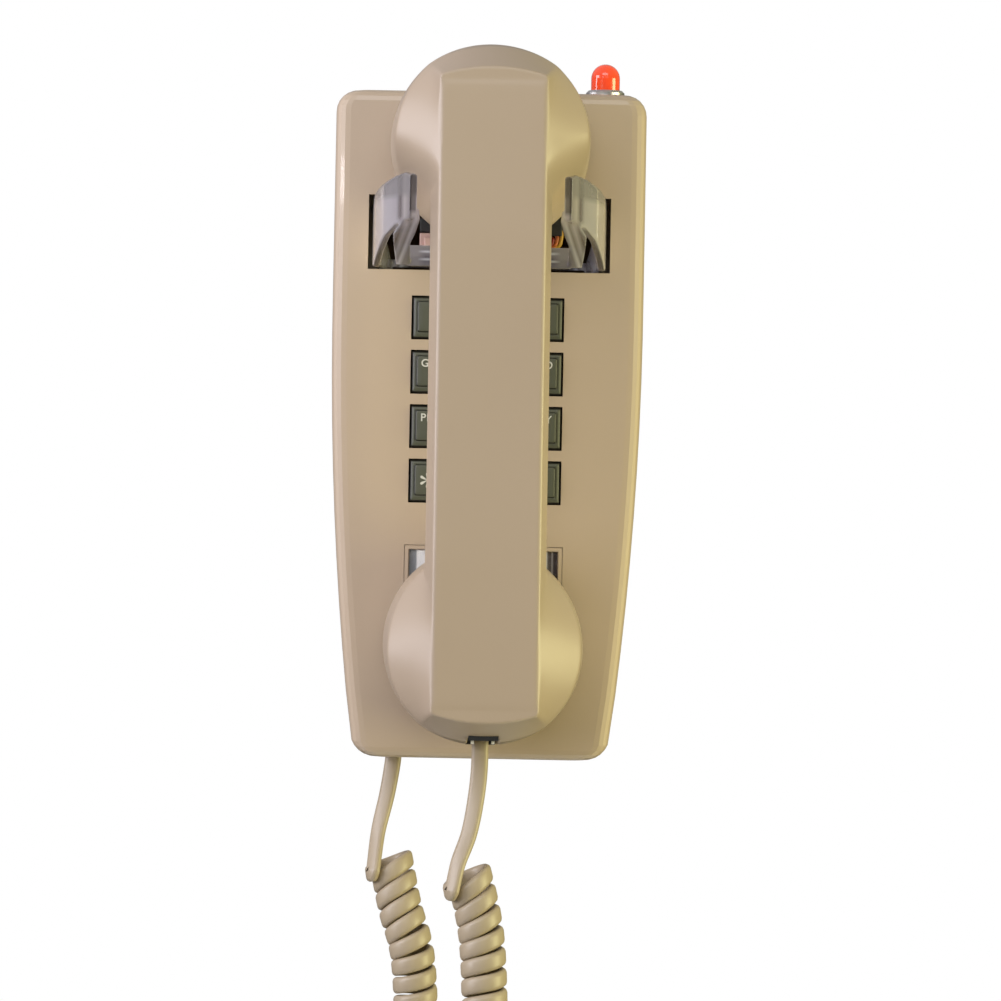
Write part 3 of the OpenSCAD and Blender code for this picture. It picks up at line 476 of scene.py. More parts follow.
# The handset rests a little turned in its cradle, by a share of depth, and leans by
# millimetres over a length.
HANDSET_TURN = 0.024
HANDSET_LEAN = 0.5
HANDSET_LEAN_LENGTH = 158
HANDSET_JACK_Y = RIM_Y + 24
HANDSET_PLUG_Z = TRANSMITTER_Z - CAP_R + 4
JACK_SLOT_W = 9.4
NOTCH_FRONT = RIM_Y + 44
NOTCH_TOP = TRANSMITTER_Z - CAP_R + 4.8


def spline4(rows, steps):
    """Catmull-Rom through rows of four numbers."""
    rows = [list(r) for r in rows]
    first = [2 * a - b for a, b in zip(rows[0], rows[1])]
    last = [2 * a - b for a, b in zip(rows[-1], rows[-2])]
    rows = [first] + rows + [last]
    out = []
    for a, b, c, d in zip(rows, rows[1:], rows[2:], rows[3:]):
        for k in range(steps):
            t = k / steps
            out.append([
                0.5 * (2 * q + (r - p) * t + (2 * p - 5 * q + 4 * r - s) * t * t
                       + (3 * q - 3 * r + s - p) * t ** 3)
                for p, q, r, s in zip(a, b, c, d)
            ])
    out.append(rows[-2])
    return out


def handle_ring(z, front, back, share):
    w = HANDLE_W / 2 * share
    m = HANDLE_MAX_W / 2 * share
    mid = -front + min(HANDLE_T, front - back) * 0.6
    corners = [(-m, mid), (-w, -front), (w, -front), (m, mid), (w * 0.8, -back),
               (-w * 0.8, -back)]
    return [(p[0], p[1], z) for p in soft_corners(corners, [6, 1.2, 1.2, 6, 6, 6], 9)]


def make_handset():
    body = loft("handset_shell", [handle_ring(*s) for s in spline4(HANDLE_STATIONS, 5)])
    combine(body, "UNION", [bowl(RECEIVER_Z, 1, 1), bowl(TRANSMITTER_Z, -1, 0.15)])
    across = (-JACK_SLOT_W / 2, JACK_SLOT_W / 2)
    below = TRANSMITTER_Z - CAP_R - 2
    slot = box("slot", across, (HANDSET_JACK_Y - 4, HANDSET_JACK_Y + 4),
               (below, HANDSET_PLUG_Z + 15))
    notch = box("notch", across, (HANDSET_JACK_Y - 4, NOTCH_FRONT), (below, NOTCH_TOP))
    combine(body, "DIFFERENCE", [hollow(RECEIVER_Z), hollow(TRANSMITTER_Z), slot, notch])
    soften(body, 0.5, 4)
    for v in body.data.vertices:
        turn = -(v.co.y / MM + RIM_Y + CAP_LEN) * HANDSET_TURN
        lean = HANDSET_LEAN * (v.co.z / MM - TRANSMITTER_Z) / HANDSET_LEAN_LENGTH
        v.co.x += (turn - lean) * MM
    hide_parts("handset_body")
    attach(body, "handset")
    return body


handset = make_handset()


# Middle of the plug's two tabs, which the turned handset carries with it, and how far out
# from there each sits.
TAB_X = 0.7
TAB_OUT = 3.2


def make_notch_shade_lining():
    """Dark sheets of painted shade in the notch that the cord leaves by, and the plug's two clear
    tabs in it.
    """
    half = JACK_SLOT_W / 2
    back = HANDSET_JACK_Y - 3.9
    # Painted shade: dark sheets at the back and the brow of the notch.
    lining = [
        box("jack_shade_lining", (-half, half), (back, back + 0.5),
            (NOTCH_TOP - 4.4, NOTCH_TOP + 12)),
        box("jack_brow_shade", (-half + 0.9, half + 0.9), (NOTCH_FRONT - 2.2, NOTCH_FRONT - 1.4),
            (NOTCH_TOP - 1.3, NOTCH_TOP + 0.2)),
    ]
    tabs = [
        box("jack_tab", (TAB_X + s * TAB_OUT - 0.5, TAB_X + s * TAB_OUT + 0.5),
            (NOTCH_FRONT - 3.6, NOTCH_FRONT - 2.6), (NOTCH_TOP - 2.4, NOTCH_TOP - 1.2))
        for s in (1, -1)
    ]
    for pieces, slot in ((lining, "dark_plastic"), (tabs, "clear")):
        for piece in pieces:
            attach(piece, "handset")
    return lining, tabs


jack_shade_lining, jack_tabs = make_notch_shade_lining()


# ---- Hook cradle: clear ears, arms and saddle in one moulding ----

EAR_PLAN = [
    (ARM_X, PIN_Y + 9, 0), (ARM_X + 1.6, PIN_Y + 20, 0), (ARM_X + 3.5, 47, 0),
    (ARM_X + 2.9, 56, 0), (ARM_X + 0.8, 66, 0), (ARM_X - 2, 74.5, 0), (ARM_X - 5.2, 83, 0),
    (ARM_X - 8.6, 90.5, 0),
]
EAR_TOP = [(24, 52), (40, 62), (51.5, 69.5), (52.6, 73.2), (64, 75.6), (78, 78), (86, 78.8),
           (91, 78)]
EAR_BOTTOM = [(24, 46), (40, 49.8), (52, 50.2), (59, 53.6), (69, 59), (79, 62.4), (91, 64.2)]
WEB_TOP = OPENING_Z + 4
SADDLE_FRONT = CAP_GAP + HOUSING_D + 10
SADDLE_X = (-26, 26)
# Pin's bosses and their hole, the gap of the saddle to the receiver cap's rim.
BOSS_R = 4.4
PIN_HOLE_R = 2.1
RIM_GAP = 0.3


def lookup(x, table):
    if x <= table[0][0]:
        return table[0][1]
    for (x0, y0), (x1, y1) in zip(table, table[1:]):
        if x <= x1:
            return y0 + (y1 - y0) * (x - x0) / (x1 - x0)
    return table[-1][1]


def ear(sx):
    path = spline(EAR_PLAN, 10)
    rings = []
    for i, p in enumerate(path):
        t = (path[min(i + 1, len(path) - 1)] - path[max(i - 1, 0)]).normalized()
        nx, ny = t.y * CRADLE_T / 2, -t.x * CRADLE_T / 2
        lo, hi = lookup(p.y, EAR_BOTTOM), lookup(p.y, EAR_TOP)
        ring = soft_corners([(1, lo), (-1, lo), (-1, hi), (1, hi)], [0.9] * 4, 4)
        rings.append([(sx * (p.x + nx * q[0]), -(p.y + ny * q[0]), q[1]) for q in ring])
    return loft("ear", rings)


# Curved fin from the tip of each ear down to the saddle: from and to of x and y, and z.
STRUT = [
    (22.2, 25.8, 85.5, 90, 67.2), (22, 27.4, 83, 87.5, 64), (23.4, 30.4, 77, 80, 60),
    (25, 30.4, 70, 73, 57), (25, 29.6, 57.8, 61.8, 50.8),
]


def strut(sx):
    rings = []
    for x0, x1, y0, y1, z in STRUT:
        corners = [(x0, -y0, z), (x1, -y0, z), (x1, -y1, z), (x0, -y1, z)]
        rings.append([(sx * q[0], q[1], q[2]) for q in soft_corners(corners, [1.6] * 4, 5)])
    return loft("strut", rings)


def round_bar(name, r, ends, n=48):
    """Round bar along the pin's axis, between two places across the phone."""
    return loft(name, [
        [(x, -PIN_Y + r * math.cos(a), PIN_Z + r * math.sin(a))
         for a in (2 * math.pi * k / n for k in range(n))]
        for x in ends
    ])


def make_cradle():
    body = box("cradle", SADDLE_X, (HOUSING_D + 1, SADDLE_FRONT),
               (OPENING_Z + 0.8, OPENING_Z + 7.4))
    profile = [(0, AXIS_R), (0, CAP_R + RIM_GAP), (30, CAP_R + RIM_GAP), (30, AXIS_R)]
    rim = lathe("rim", profile, (0, HOUSING_D, RECEIVER_Z))
    combine(body, "DIFFERENCE", [rim])
    parts = [
        box("web", SADDLE_X, (PIN_Y + 9, SADDLE_FRONT - 3), (WEB_TOP - CRADLE_T, WEB_TOP)),
        box("bar", (-ARM_X, ARM_X), (PIN_Y + 9, PIN_Y + 12), (WEB_TOP - CRADLE_T, WEB_TOP)),
    ]
    for s in (1, -1):
        sides = (s * (ARM_X - CRADLE_T / 2), s * (ARM_X + CRADLE_T / 2))
        parts += [
            ear(s), strut(s), round_bar("boss", BOSS_R, sides),
            box("arm", sorted(sides), (PIN_Y, PIN_Y + 12), (PIN_Z - 1, PIN_Z + 6.5)),
        ]
    combine(body, "UNION", parts)
    combine(body, "DIFFERENCE", [round_bar("pin_hole", PIN_HOLE_R, (-ARM_X - 6, ARM_X + 6))])
    soften(body, 0.32, 3)
    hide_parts("hook_cradle")
    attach(body, "hook")
    return body


cradle = make_cradle()
# Lamps shine through the clear plastic on what lies behind it.
cradle.visible_shadow = False


# ---- Insulated wires of the hook switch, behind the opening of the housing ----

WIRE_R = 0.62
WIRE_COLORS = [(206, 158, 50), (196, 104, 40), (150, 40, 26), (30, 24, 22)]


def make_wire(k):
    """One of the wires, which run side by side from the switch and back under it."""
    points = [
        (5, -40.9, 66 - 1.4 * k), (13, -42.2 - 0.3 * k, 65.5 - 1.4 * k),
        (18 + 1.35 * (3 - k), -44, 64 - 1.6 * k), (19.2 + 1.3 * (3 - k), -44.3, 60),
        (17.5 + 1.2 * (3 - k), -44, 57.6), (12, -42.5, 57.6 + 0.2 * k), (6, -40.9, 58.8),
    ]
    path = spline(points, 6)
    rings = []
    for i, p in enumerate(path):
        t = (path[min(i + 1, len(path) - 1)] - path[max(i - 1, 0)]).normalized()
        side = t.cross(Vector((0, 1, 0))).normalized()
        other = t.cross(side)
        rings.append([
            p + WIRE_R * (math.cos(a) * side + math.sin(a) * other)
            for a in (2 * math.pi * j / 12 for j in range(12))
        ])
    wire = loft(f"switch_wire_{k}_r", rings)
    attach(wire, "base")
    return wire


switch_wires = [make_wire(k) for k in range(len(WIRE_COLORS))]


# Moulded terminal beside the switch, and the dark covers over it and over the wires.
TERMINAL_PARTS = [
    ("terminal_block", (-22.4, -14), (40.3, 46), (56.8, 61.6)),
    ("terminal_step", (-20.9, -15), (46.05, 47.2), (57, 60.2)),
    ("terminal_cover", (-22.4, -13), (40.3, 45), (62, 66.4)),
    ("wire_cover", (13, 23.4), (45.2, 46.4), (61.4, 67)),
]
TERMINAL_BEVEL = 0.35


def make_terminal():
    made = []
    for name, x, y, z in TERMINAL_PARTS:
        piece = box(name, x, y, z)
        bevel = piece.modifiers.new("bevel", "BEVEL")
        bevel.width = TERMINAL_BEVEL * MM
        bevel.segments = 3
        apply_modifiers(piece)
        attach(piece, "base")
        made.append(piece)
    return made


terminal = make_terminal()


# ---- Keys ----

KEYS = [
    ("key_1", 0, 0, "", "1"), ("key_2", 1, 0, "ABC", "2"), ("key_3", 2, 0, "DEF", "3"),
    ("key_4", 0, 1, "GHI", "4"), ("key_5", 1, 1, "JKL", "5"), ("key_6", 2, 1, "MNO", "6"),
    ("key_7", 0, 2, "PRS", "7"), ("key_8", 1, 2, "TUV", "8"), ("key_9", 2, 2, "WXY", "9"),
    ("key_star", 0, 3, "", "*"), ("key_0", 1, 3, "OPER", "0"), ("key_pound", 2, 3, "", "#"),
]
# A key's stem and the flange that holds it behind the housing's front.
STEM_HALF = 2.4
STEM_LENGTH = 0.6
STEM_CORNER = 1.2
FLANGE_HALF = (KEY_PITCH - 1.7) / 2
FLANGE_T = 1.2
KEY_CORNER = 0.5
# Rings of a key's cap: half width, half height, upward shift, depth under its front, corner.
KEY_RINGS = [
    (6.7, 6.7, 0, 1.9, 0.5), (6.7, 6.7, 0, 1.6, 0.5), (6.2, 6.2, 0, 1.02, 0.5),
    (6.1, 6.1, 0, 0.95, 0.5), (5.5, 5.35, 0.2, 0.72, 0.5), (5.35, 5.2, 0.22, 0.72, 0.5),
    (5.27, 5.12, 0.24, 0.8, 0.5), (5.15, 5.0, 0.26, 0.8, 0.5), (5.05, 4.9, 0.28, 0.62, 0.6),
    (4.95, 4.8, 0.3, 0.2, 0.7), (4.82, 4.67, 0.3, 0.06, 0.7), (4.6, 4.45, 0.3, 0, 0.7),
    (3.0, 2.9, 0.3, 0.02, 0.6),
]


LETTER_SIZE = 3.5
DIGIT_SIZE = 5.2
SIGN_SIZES = {"*": 11, "#": 5}
# Width of the one word of four letters, as a share of what it would be.
WORD_SQUEEZE = 0.78


def key_ring(cx, cz, half_x, half_z, y, corner):
    corners = [(-half_x, -half_z), (half_x, -half_z), (half_x, half_z), (-half_x, half_z)]
    return [(cx + p[0], -y, cz + p[1]) for p in soft_corners(corners, [corner] * 4, 6)]


def legend(text, size, cx, cz, y, width=1.0):
    curve = bpy.data.curves.new("legend", "FONT")
    curve.body = text
    curve.size = size * MM
    curve.align_x = "CENTER"
    curve.align_y = "CENTER"
    curve.extrude = 0.02 * MM
    curve.offset = 0.05 * MM
    curve.space_character = 1.08
    curve.resolution_u = 4
    text_obj = bpy.data.objects.new("legend", curve)
    bpy.context.scene.collection.objects.link(text_obj)
    bpy.context.view_layer.update()
    graph = bpy.context.evaluated_depsgraph_get()
    mesh = bpy.data.meshes.new_from_object(text_obj.evaluated_get(graph))
    bpy.data.objects.remove(text_obj)
    xs = [v.co.x for v in mesh.vertices]
    ys = [v.co.y for v in mesh.vertices]
    mx, my = (max(xs) + min(xs)) / 2, (max(ys) + min(ys)) / 2
    mesh.transform(
        Matrix.Translation(Vector((cx, -y, cz)) * MM)
        @ Matrix.Rotation(math.pi / 2, 4, "X")
        @ Matrix.Diagonal((width, 1, 1, 1))
        @ Matrix.Translation((-mx, -my, 0))
    )
    return mesh


def make_key(name, col, row, letters, digit):
    cx = (col - 1) * KEY_PITCH
    cz = TOP_ROW_Z - row * KEY_PITCH
    front = front_y(cz) + KEY_PROUD
    rings = [
        key_ring(cx, cz, half, half, y, corner)
        for half, y, corner in (
            (STEM_HALF, KEY_BACK - STEM_LENGTH, STEM_CORNER), (STEM_HALF, KEY_BACK, STEM_CORNER),
            (FLANGE_HALF, KEY_BACK, KEY_CORNER), (FLANGE_HALF, KEY_BACK + FLANGE_T, KEY_CORNER),
            (KEY_SIDE / 2, KEY_BACK + FLANGE_T, KEY_CORNER),
        )
    ]
    rings += [key_ring(cx, cz + up, hx, hz, front - d, c) for hx, hz, up, d, c in KEY_RINGS]
    key = loft(name + "_cap", rings)
    marks = []
    if letters:
        wide = WORD_SQUEEZE if len(letters) == 4 else 1
        marks.append(legend(letters, LETTER_SIZE, cx - 0.6, cz + 2.9, front, wide))
    if digit in SIGN_SIZES:
        marks.append(legend(digit, SIGN_SIZES[digit], cx - 1, cz + 0.2, front))
    else:
        marks.append(legend(digit, DIGIT_SIZE, cx, cz - 1.5 if letters else cz + 0.4, front))
    bm = bmesh.new()
    for mesh in marks:
        bm.from_mesh(mesh)
        bpy.data.meshes.remove(mesh)
    mark = link_mesh(name + "_legend", bm, smooth=False)
    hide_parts(name)
    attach(key, name)
    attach(mark, name)
    return key, mark


keys = [make_key(*row) for row in KEYS]


# ---- Number card ----


def make_card():
    half = WINDOW_W / 2 - CARD_GAP
    card = box("number_card_paper", (-half, half), (CARD_BACK, CARD_BACK + CARD_T),
               (WINDOW_Z - WINDOW_H + CARD_GAP, WINDOW_Z - CARD_GAP))
    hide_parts("number_card")
    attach(card, "base")
    return card


card = make_card()


# ---- Materials ----


class Finish:
    """A material's nodes, with short ways to add texture to it."""

    def __init__(self, name, color, rough=0.35, **inputs):
        self.mat = bpy.data.materials.new(name)
        self.mat.use_nodes = True
        self.tree = self.mat.node_tree
        self.shader = self.tree.nodes["Principled BSDF"]
        self.places = self.add("ShaderNodeTexCoord").outputs
        self.coords = self.places["Object"]
        self.shader.inputs["Base Color"].default_value = (*color, 1)
        self.shader.inputs["Roughness"].default_value = rough
        self.height = None
        for key, value in inputs.items():
            self.shader.inputs[key.replace("_", " ")].default_value = value

    def add(self, kind, **values):
        node = self.tree.nodes.new(kind)
        for key, value in values.items():
            if hasattr(node, key):
                setattr(node, key, value)
            else:
                node.inputs[key].default_value = value
        return node

    def link(self, a, b):
        self.tree.links.new(a, b)

    def noise(self, scale, detail=4, stretch=None):
        node = self.add("ShaderNodeTexNoise", Scale=scale, Detail=detail)
        self.link(self.mapped(stretch), node.inputs["Vector"])
        return node.outputs["Fac"]

    def mapped(self, stretch):
        if stretch is None:
            return self.coords
        node = self.add("ShaderNodeMapping")
        node.inputs["Scale"].default_value = stretch
        self.link(self.coords, node.inputs["Vector"])
        return node.outputs["Vector"]

    def axis(self, name, of="Object"):
        """One coordinate of a place in the object, or of the surface's normal."""
        node = self.add("ShaderNodeSeparateXYZ")
        self.link(self.places[of], node.inputs[0])
        return node.outputs[name]

    def calc(self, operation, *values):
        """Result of a sum or product of sockets and numbers."""
        node = self.add("ShaderNodeMath", operation=operation)
        for value, socket in zip(values, node.inputs):
            if isinstance(value, float):
                socket.default_value = value
            else:
                self.link(value, socket)
        return node.outputs[0]

    def range(self, value, low, high, to_low, to_high):
        node = self.add("ShaderNodeMapRange")
        for i, number in enumerate((low, high, to_low, to_high)):
            node.inputs[i + 1].default_value = number
        self.link(value, node.inputs[0])
        return node.outputs[0]

    def blend(self, factor, a, b):
        """Mixes two colours, each a tuple or a socket."""
        node = self.add("ShaderNodeMix", data_type="RGBA")
        self.link(factor, node.inputs[0])
        for value, socket in ((a, node.inputs[6]), (b, node.inputs[7])):
            if isinstance(value, tuple):
                socket.default_value = (*value, 1)
            else:
                self.link(value, socket)
        return node.outputs[2]

    def ramp(self, value, stops):
        """Colour along a value from 0 to 1; stops are (place, red, green, blue)."""
        node = self.add("ShaderNodeValToRGB")
        elements = node.color_ramp.elements
        while len(elements) < len(stops):
            elements.new(0.5)
        for element, (place, *color) in zip(elements, stops):
            element.position = place
            element.color = (*srgb(*color), 1)
        self.link(value, node.inputs[0])
        return node.outputs[0]

    def paint(self, socket, to="Base Color"):
        self.link(socket, self.shader.inputs[to])

    def bump(self, height, distance):
        """Adds relief of the given depth in metres, over any relief already there."""
        node = self.add("ShaderNodeBump", Strength=1.0, Distance=distance)
        self.link(height, node.inputs["Height"])
        if self.height is not None:
            self.link(self.height, node.inputs["Normal"])
        self.height = node.outputs["Normal"]
        self.link(self.height, self.shader.inputs["Normal"])


def srgb(r, g, b):
    def one(c):
        c /= 255
        return c / 12.92 if c <= 0.04045 else ((c + 0.055) / 1.055) ** 2.4
    return (one(r), one(g), one(b))


def moulded(name, color, shade, rough, grain=0.00002):
    """Moulded plastic: slight drifts of colour, fine grain, rubbed and dull places."""
    f = Finish(name, color, rough)
    drift = f.range(f.noise(14, 3), 0.2, 0.8, 0, 1)
    f.paint(f.blend(drift, color, shade))
    rub = f.range(f.noise(60, 4), 0.2, 0.8, rough - 0.03, rough + 0.05)
    f.paint(rub, "Roughness")
    f.bump(f.noise(1500, 2), grain)
    f.bump(f.noise(45, 2), grain * 2)
    return f


def shell_finish(name, color, shade, coat, gloss):
    """Moulded plastic under a thin shine."""
    f = moulded(name, color, shade, 0.36)
    f.shader.inputs["Coat Weight"].default_value = coat
    f.shader.inputs["Coat Roughness"].default_value = gloss
    return f.mat


def key_finish():
    """Dark plastic, with painted shade down the keys' sides."""
    f = moulded("key_plastic", srgb(88, 90, 76), srgb(80, 82, 69), 0.42, 0.00003)
    # Painted shade: faces that turn away from the front are darkened nearly to black.
    side = f.range(f.axis("Y", "Normal"), -0.9, -0.7, 0, 1)
    f.paint(f.blend(side, srgb(86, 89, 75), srgb(26, 27, 22)))
    return f.mat


# Painted reflections, light and dark, on the smoked plastic from 20 mm to 40 mm out from the
# middle: place and colour.
SMOKE_REFLECTIONS = [
    (0.0, 218, 220, 232), (0.21, 204, 198, 198), (0.25, 128, 122, 122), (0.34, 186, 180, 178),
    (0.41, 104, 96, 95), (0.48, 184, 180, 183), (0.62, 190, 186, 189), (0.8, 208, 201, 197),
]
# Glints along the saddle from its lower edge to its upper edge.
SADDLE_GLINTS = [
    (0.0, 140, 136, 140), (0.25, 120, 116, 126), (0.32, 222, 225, 236), (0.4, 112, 108, 118),
    (0.56, 132, 128, 134), (0.63, 210, 213, 224), (0.71, 138, 134, 138), (1.0, 168, 165, 165),
]
# Glints across a strut, from its inner edge to its outer edge, and how far it leans out.
STRUT_GLINTS = [
    (0.0, 150, 146, 150), (0.2, 222, 222, 230), (0.34, 152, 148, 152), (0.55, 200, 198, 204),
    (0.78, 132, 126, 128), (1.0, 196, 194, 198),
]
STRUT_LEAN = 0.43
# Zones of the cradle, in metres: each from where it doesn't show to where it does.
EAR_TIP_Z = (0.0705, 0.0725)
STRUT_Z = (0.065, 0.0625)
STRUT_SLANT = (0.0572, 0.0565)
SADDLE_ACROSS = (0.0228, 0.0204)
FRONT_EDGE_Z = (0.0655, 0.067)
HEM_ACROSS = (0.0285, 0.0305)


def smoke_finish():
    """Smoked clear plastic: painted reflections streak down its faces; dark narrow front edges,
    and painted shade on its lower edges.
    """
    f = Finish("smoke_clear", srgb(170, 168, 178), 0.05, IOR=1.49, Transmission_Weight=0.3)
    height = f.axis("Z")
    across = f.calc("ABSOLUTE", f.axis("X"))
    slant = f.calc("MULTIPLY_ADD", height, STRUT_LEAN, across)
    # Painted reflections streak across the ears by their distance from the middle.
    face = f.ramp(f.range(across, 0.02, 0.04, 0, 1), SMOKE_REFLECTIONS)
    face = f.blend(f.range(height, *EAR_TIP_Z, 0, 0.75), face, srgb(138, 136, 136))
    strut = f.calc("MULTIPLY", f.range(height, *STRUT_Z, 0, 1), f.range(slant, *STRUT_SLANT, 0, 1))
    face = f.blend(strut, face, f.ramp(f.range(slant, 0.0495, 0.0558, 0, 1), STRUT_GLINTS))
    saddle = f.ramp(f.range(height, 0.05, 0.058, 0, 1), SADDLE_GLINTS)
    face = f.blend(f.range(across, *SADDLE_ACROSS, 0, 1), face, saddle)
    # Dark narrow front faces at the ear tops, and painted shade on the down-facing hem.
    front = f.calc("MULTIPLY", f.range(f.axis("Y", "Normal"), -0.75, -0.95, 0, 1),
                   f.range(height, *FRONT_EDGE_Z, 0, 1))
    under = f.calc("MULTIPLY", f.range(f.axis("Z", "Normal"), -0.6, -0.85, 0, 0.85),
                   f.range(across, *HEM_ACROSS, 0, 1))
    edge = f.calc("MAXIMUM", front, under)
    f.paint(f.blend(edge, face, srgb(62, 56, 56)))
    f.paint(f.range(edge, 0, 1, 0.3, 0.2), "Transmission Weight")
    f.paint(f.range(edge, 0, 1, 0.84, 0.92), "Alpha")
    scuffs = f.range(f.noise(90, 8, (1, 1, 6)), 0.5, 0.75, 0.03, 0.22)
    f.paint(scuffs, "Roughness")
    f.bump(f.noise(30, 2), 0.00006)
    return f.mat


def clear_finish(name="clear", tint=(0.95, 0.96, 0.95), alpha=1.0):
    f = Finish(name, tint, 0.05, IOR=1.49, Transmission_Weight=1.0, Alpha=alpha)
    f.paint(f.range(f.noise(120, 6), 0.4, 0.8, 0.03, 0.18), "Roughness")
    f.bump(f.noise(40, 2), 0.00004)
    return f.mat


def lens_finish():
    f = Finish("lens_red", srgb(250, 100, 50), 0.08, IOR=1.49, Transmission_Weight=0.35)
    # A faint glow while the bulb is unlit: painted light that brightens the red.
    f.shader.inputs["Emission Color"].default_value = (*srgb(255, 60, 20), 1)
    f.shader.inputs["Emission Strength"].default_value = 0.18
    f.shader.inputs["Coat Weight"].default_value = 1
    f.paint(f.range(f.noise(200, 5), 0.4, 0.8, 0.05, 0.16), "Roughness")
    return f.mat


def metal_finish(name, color, shade, rough, stretch=(1, 1, 1)):
    f = Finish(name, color, rough, Metallic=1.0)
    tone = f.range(f.noise(70, 6, stretch), 0.3, 0.7, 0, 1)
    f.paint(f.blend(tone, color, shade))
    rub = f.range(f.noise(180, 8, stretch), 0.3, 0.75, rough - 0.06, rough + 0.16)
    f.paint(rub, "Roughness")
    f.bump(f.noise(900, 3, stretch), 0.00002)
    return f.mat


def coil_finish():
    f = Finish("copper_coil", srgb(150, 74, 38), 0.3, Metallic=0.8)
    wires = f.add("ShaderNodeTexWave", wave_type="BANDS", bands_direction="Z", Scale=2600.0,
                  Distortion=0.3)
    f.link(f.coords, wires.inputs["Vector"])
    f.paint(f.blend(wires.outputs["Fac"], srgb(96, 40, 20), srgb(178, 96, 52)))
    f.bump(wires.outputs["Fac"], 0.00012)
    return f.mat


def board_finish():
    f = Finish("board", srgb(38, 92, 58), 0.35)
    tracks = f.add("ShaderNodeTexBrick", Scale=60.0, offset=0.5)
    tracks.inputs["Color1"].default_value = (*srgb(46, 112, 70), 1)
    tracks.inputs["Color2"].default_value = (*srgb(40, 100, 62), 1)
    tracks.inputs["Mortar"].default_value = (*srgb(26, 66, 42), 1)
    tracks.inputs["Mortar Size"].default_value = 0.03
    turned = f.add("ShaderNodeMapping")
    turned.inputs["Rotation"].default_value = (math.pi / 2, 0, 0)
    f.link(f.coords, turned.inputs["Vector"])
    f.link(turned.outputs["Vector"], tracks.inputs["Vector"])
    f.paint(tracks.outputs["Color"])
    f.bump(tracks.outputs["Fac"], -0.00006)
    f.bump(f.noise(700, 3), 0.00003)
    return f.mat


# Tones across the number card, from its left end to its right end: white between grey and dark
# strips, painted shade of the window's recess.
CARD_TONES_AND_SHADE = [
    (0.0, 130, 134, 140), (0.045, 150, 154, 160), (0.055, 252, 252, 252),
    (0.925, 252, 252, 252), (0.935, 110, 104, 100), (0.955, 60, 50, 48),
    (0.965, 170, 162, 156), (0.975, 60, 50, 48),
]


def paper_finish():
    """White card between strips of painted shade at its ends, with fibres."""
    f = Finish("card_paper", srgb(236, 236, 232), 0.75)
    tones = f.ramp(f.range(f.axis("X"), -0.0238, 0.0238, 0, 1), CARD_TONES_AND_SHADE)
    fibres = f.range(f.noise(220, 6, (1, 1, 3)), 0.3, 0.8, 0, 0.12)
    f.paint(f.blend(fibres, tones, srgb(150, 150, 145)))
    f.bump(f.noise(900, 5), 0.00004)
    return f.mat


METAL_PARTS = {
    "steel": metal_finish("steel", srgb(186, 188, 192), srgb(160, 162, 166), 0.32),
    "chrome": metal_finish("chrome", srgb(236, 236, 232), srgb(205, 205, 202), 0.3),
    "blued_steel": metal_finish("blued_steel", srgb(64, 52, 40), srgb(46, 37, 28), 0.42),
    "brass": metal_finish("brass", srgb(204, 178, 104), srgb(176, 148, 80), 0.28),
    "gold": metal_finish("gold", srgb(226, 190, 110), srgb(206, 168, 90), 0.22),
}
FINISHES = {
    "shell_plastic": shell_finish(
        "shell_plastic", srgb(197, 178, 154), srgb(193, 174, 150), 0.5, 0.06),
    # A darker copy of the housing's plastic: painted shade that keeps the handset's front darker
    # than the housing.
    "handset_plastic_shaded": shell_finish(
        "handset_plastic_shaded", srgb(182, 164, 142), srgb(178, 160, 138), 0.3, 0.35),
    "base_plastic": moulded("base_plastic", srgb(140, 132, 118), srgb(128, 120, 107), 0.5).mat,
    "smoke_clear": smoke_finish(),
    "key_plastic": key_finish(),
    "dark_plastic": moulded("dark_plastic", srgb(44, 45, 48), srgb(36, 37, 40), 0.45).mat,
    "copper_coil": coil_finish(),
    "board": board_finish(),
    "rubber_sheet": moulded(
        "rubber_sheet", srgb(206, 200, 184), srgb(188, 182, 166), 0.7, 0.00004).mat,
    "card_paper": paper_finish(),
    "clear": clear_finish(),
    "window": clear_finish("window", alpha=0.2),
    "lens_red": lens_finish(),
    "bulb_glass": clear_finish("bulb_glass", (1.0, 0.86, 0.66)),
    "tab": moulded("tab", srgb(226, 222, 210), srgb(214, 210, 198), 0.2).mat,
    "terminal": moulded("terminal", srgb(204, 172, 163), srgb(192, 158, 148), 0.4).mat,
    "switch_plastic": moulded(
        "switch_plastic", srgb(196, 126, 92), srgb(180, 112, 80), 0.4).mat,
    "cord_plastic": moulded("cord_plastic", srgb(178, 163, 138), srgb(173, 158, 133), 0.36).mat,
    **METAL_PARTS,
}
LEGEND = moulded("legend_ink", srgb(222, 222, 212), srgb(206, 206, 196), 0.5).mat
NODE_FINISH = {
    "shell_plastic": ["housing", "card_frame"],
    "handset_plastic_shaded": ["receiver_cap", "transmitter_cap"],
    "base_plastic": ["base_plate", "wall_plug"],
    "blued_steel": ["hook_bracket"],
    "steel": ["cover_screw", "hook_pin", "hook_spring", "dial_screws",
              "ringer_frame", "gong_screw", "lamp_nut", "receiver_unit", "transmitter_unit"],
    "switch_plastic": ["hook_switch"],
    "rubber_sheet": ["switch_plunger", "dial_pad"],
    "dark_plastic": ["dial_frame", "handset_jack", "base_jack"],
    "board": ["dial_board", "line_board"],
    "clear": ["base_plug", "handset_plug"],
    "window": ["card_window"],
    "copper_coil": ["ringer_coil"],
    "brass": ["clapper", "gong"],
    "chrome": ["lamp_bezel"],
    "lens_red": ["lamp_lens"],
    "bulb_glass": ["lamp_bulb"],
}


def wear(obj, material):
    obj.data.materials.clear()
    obj.data.materials.append(material)


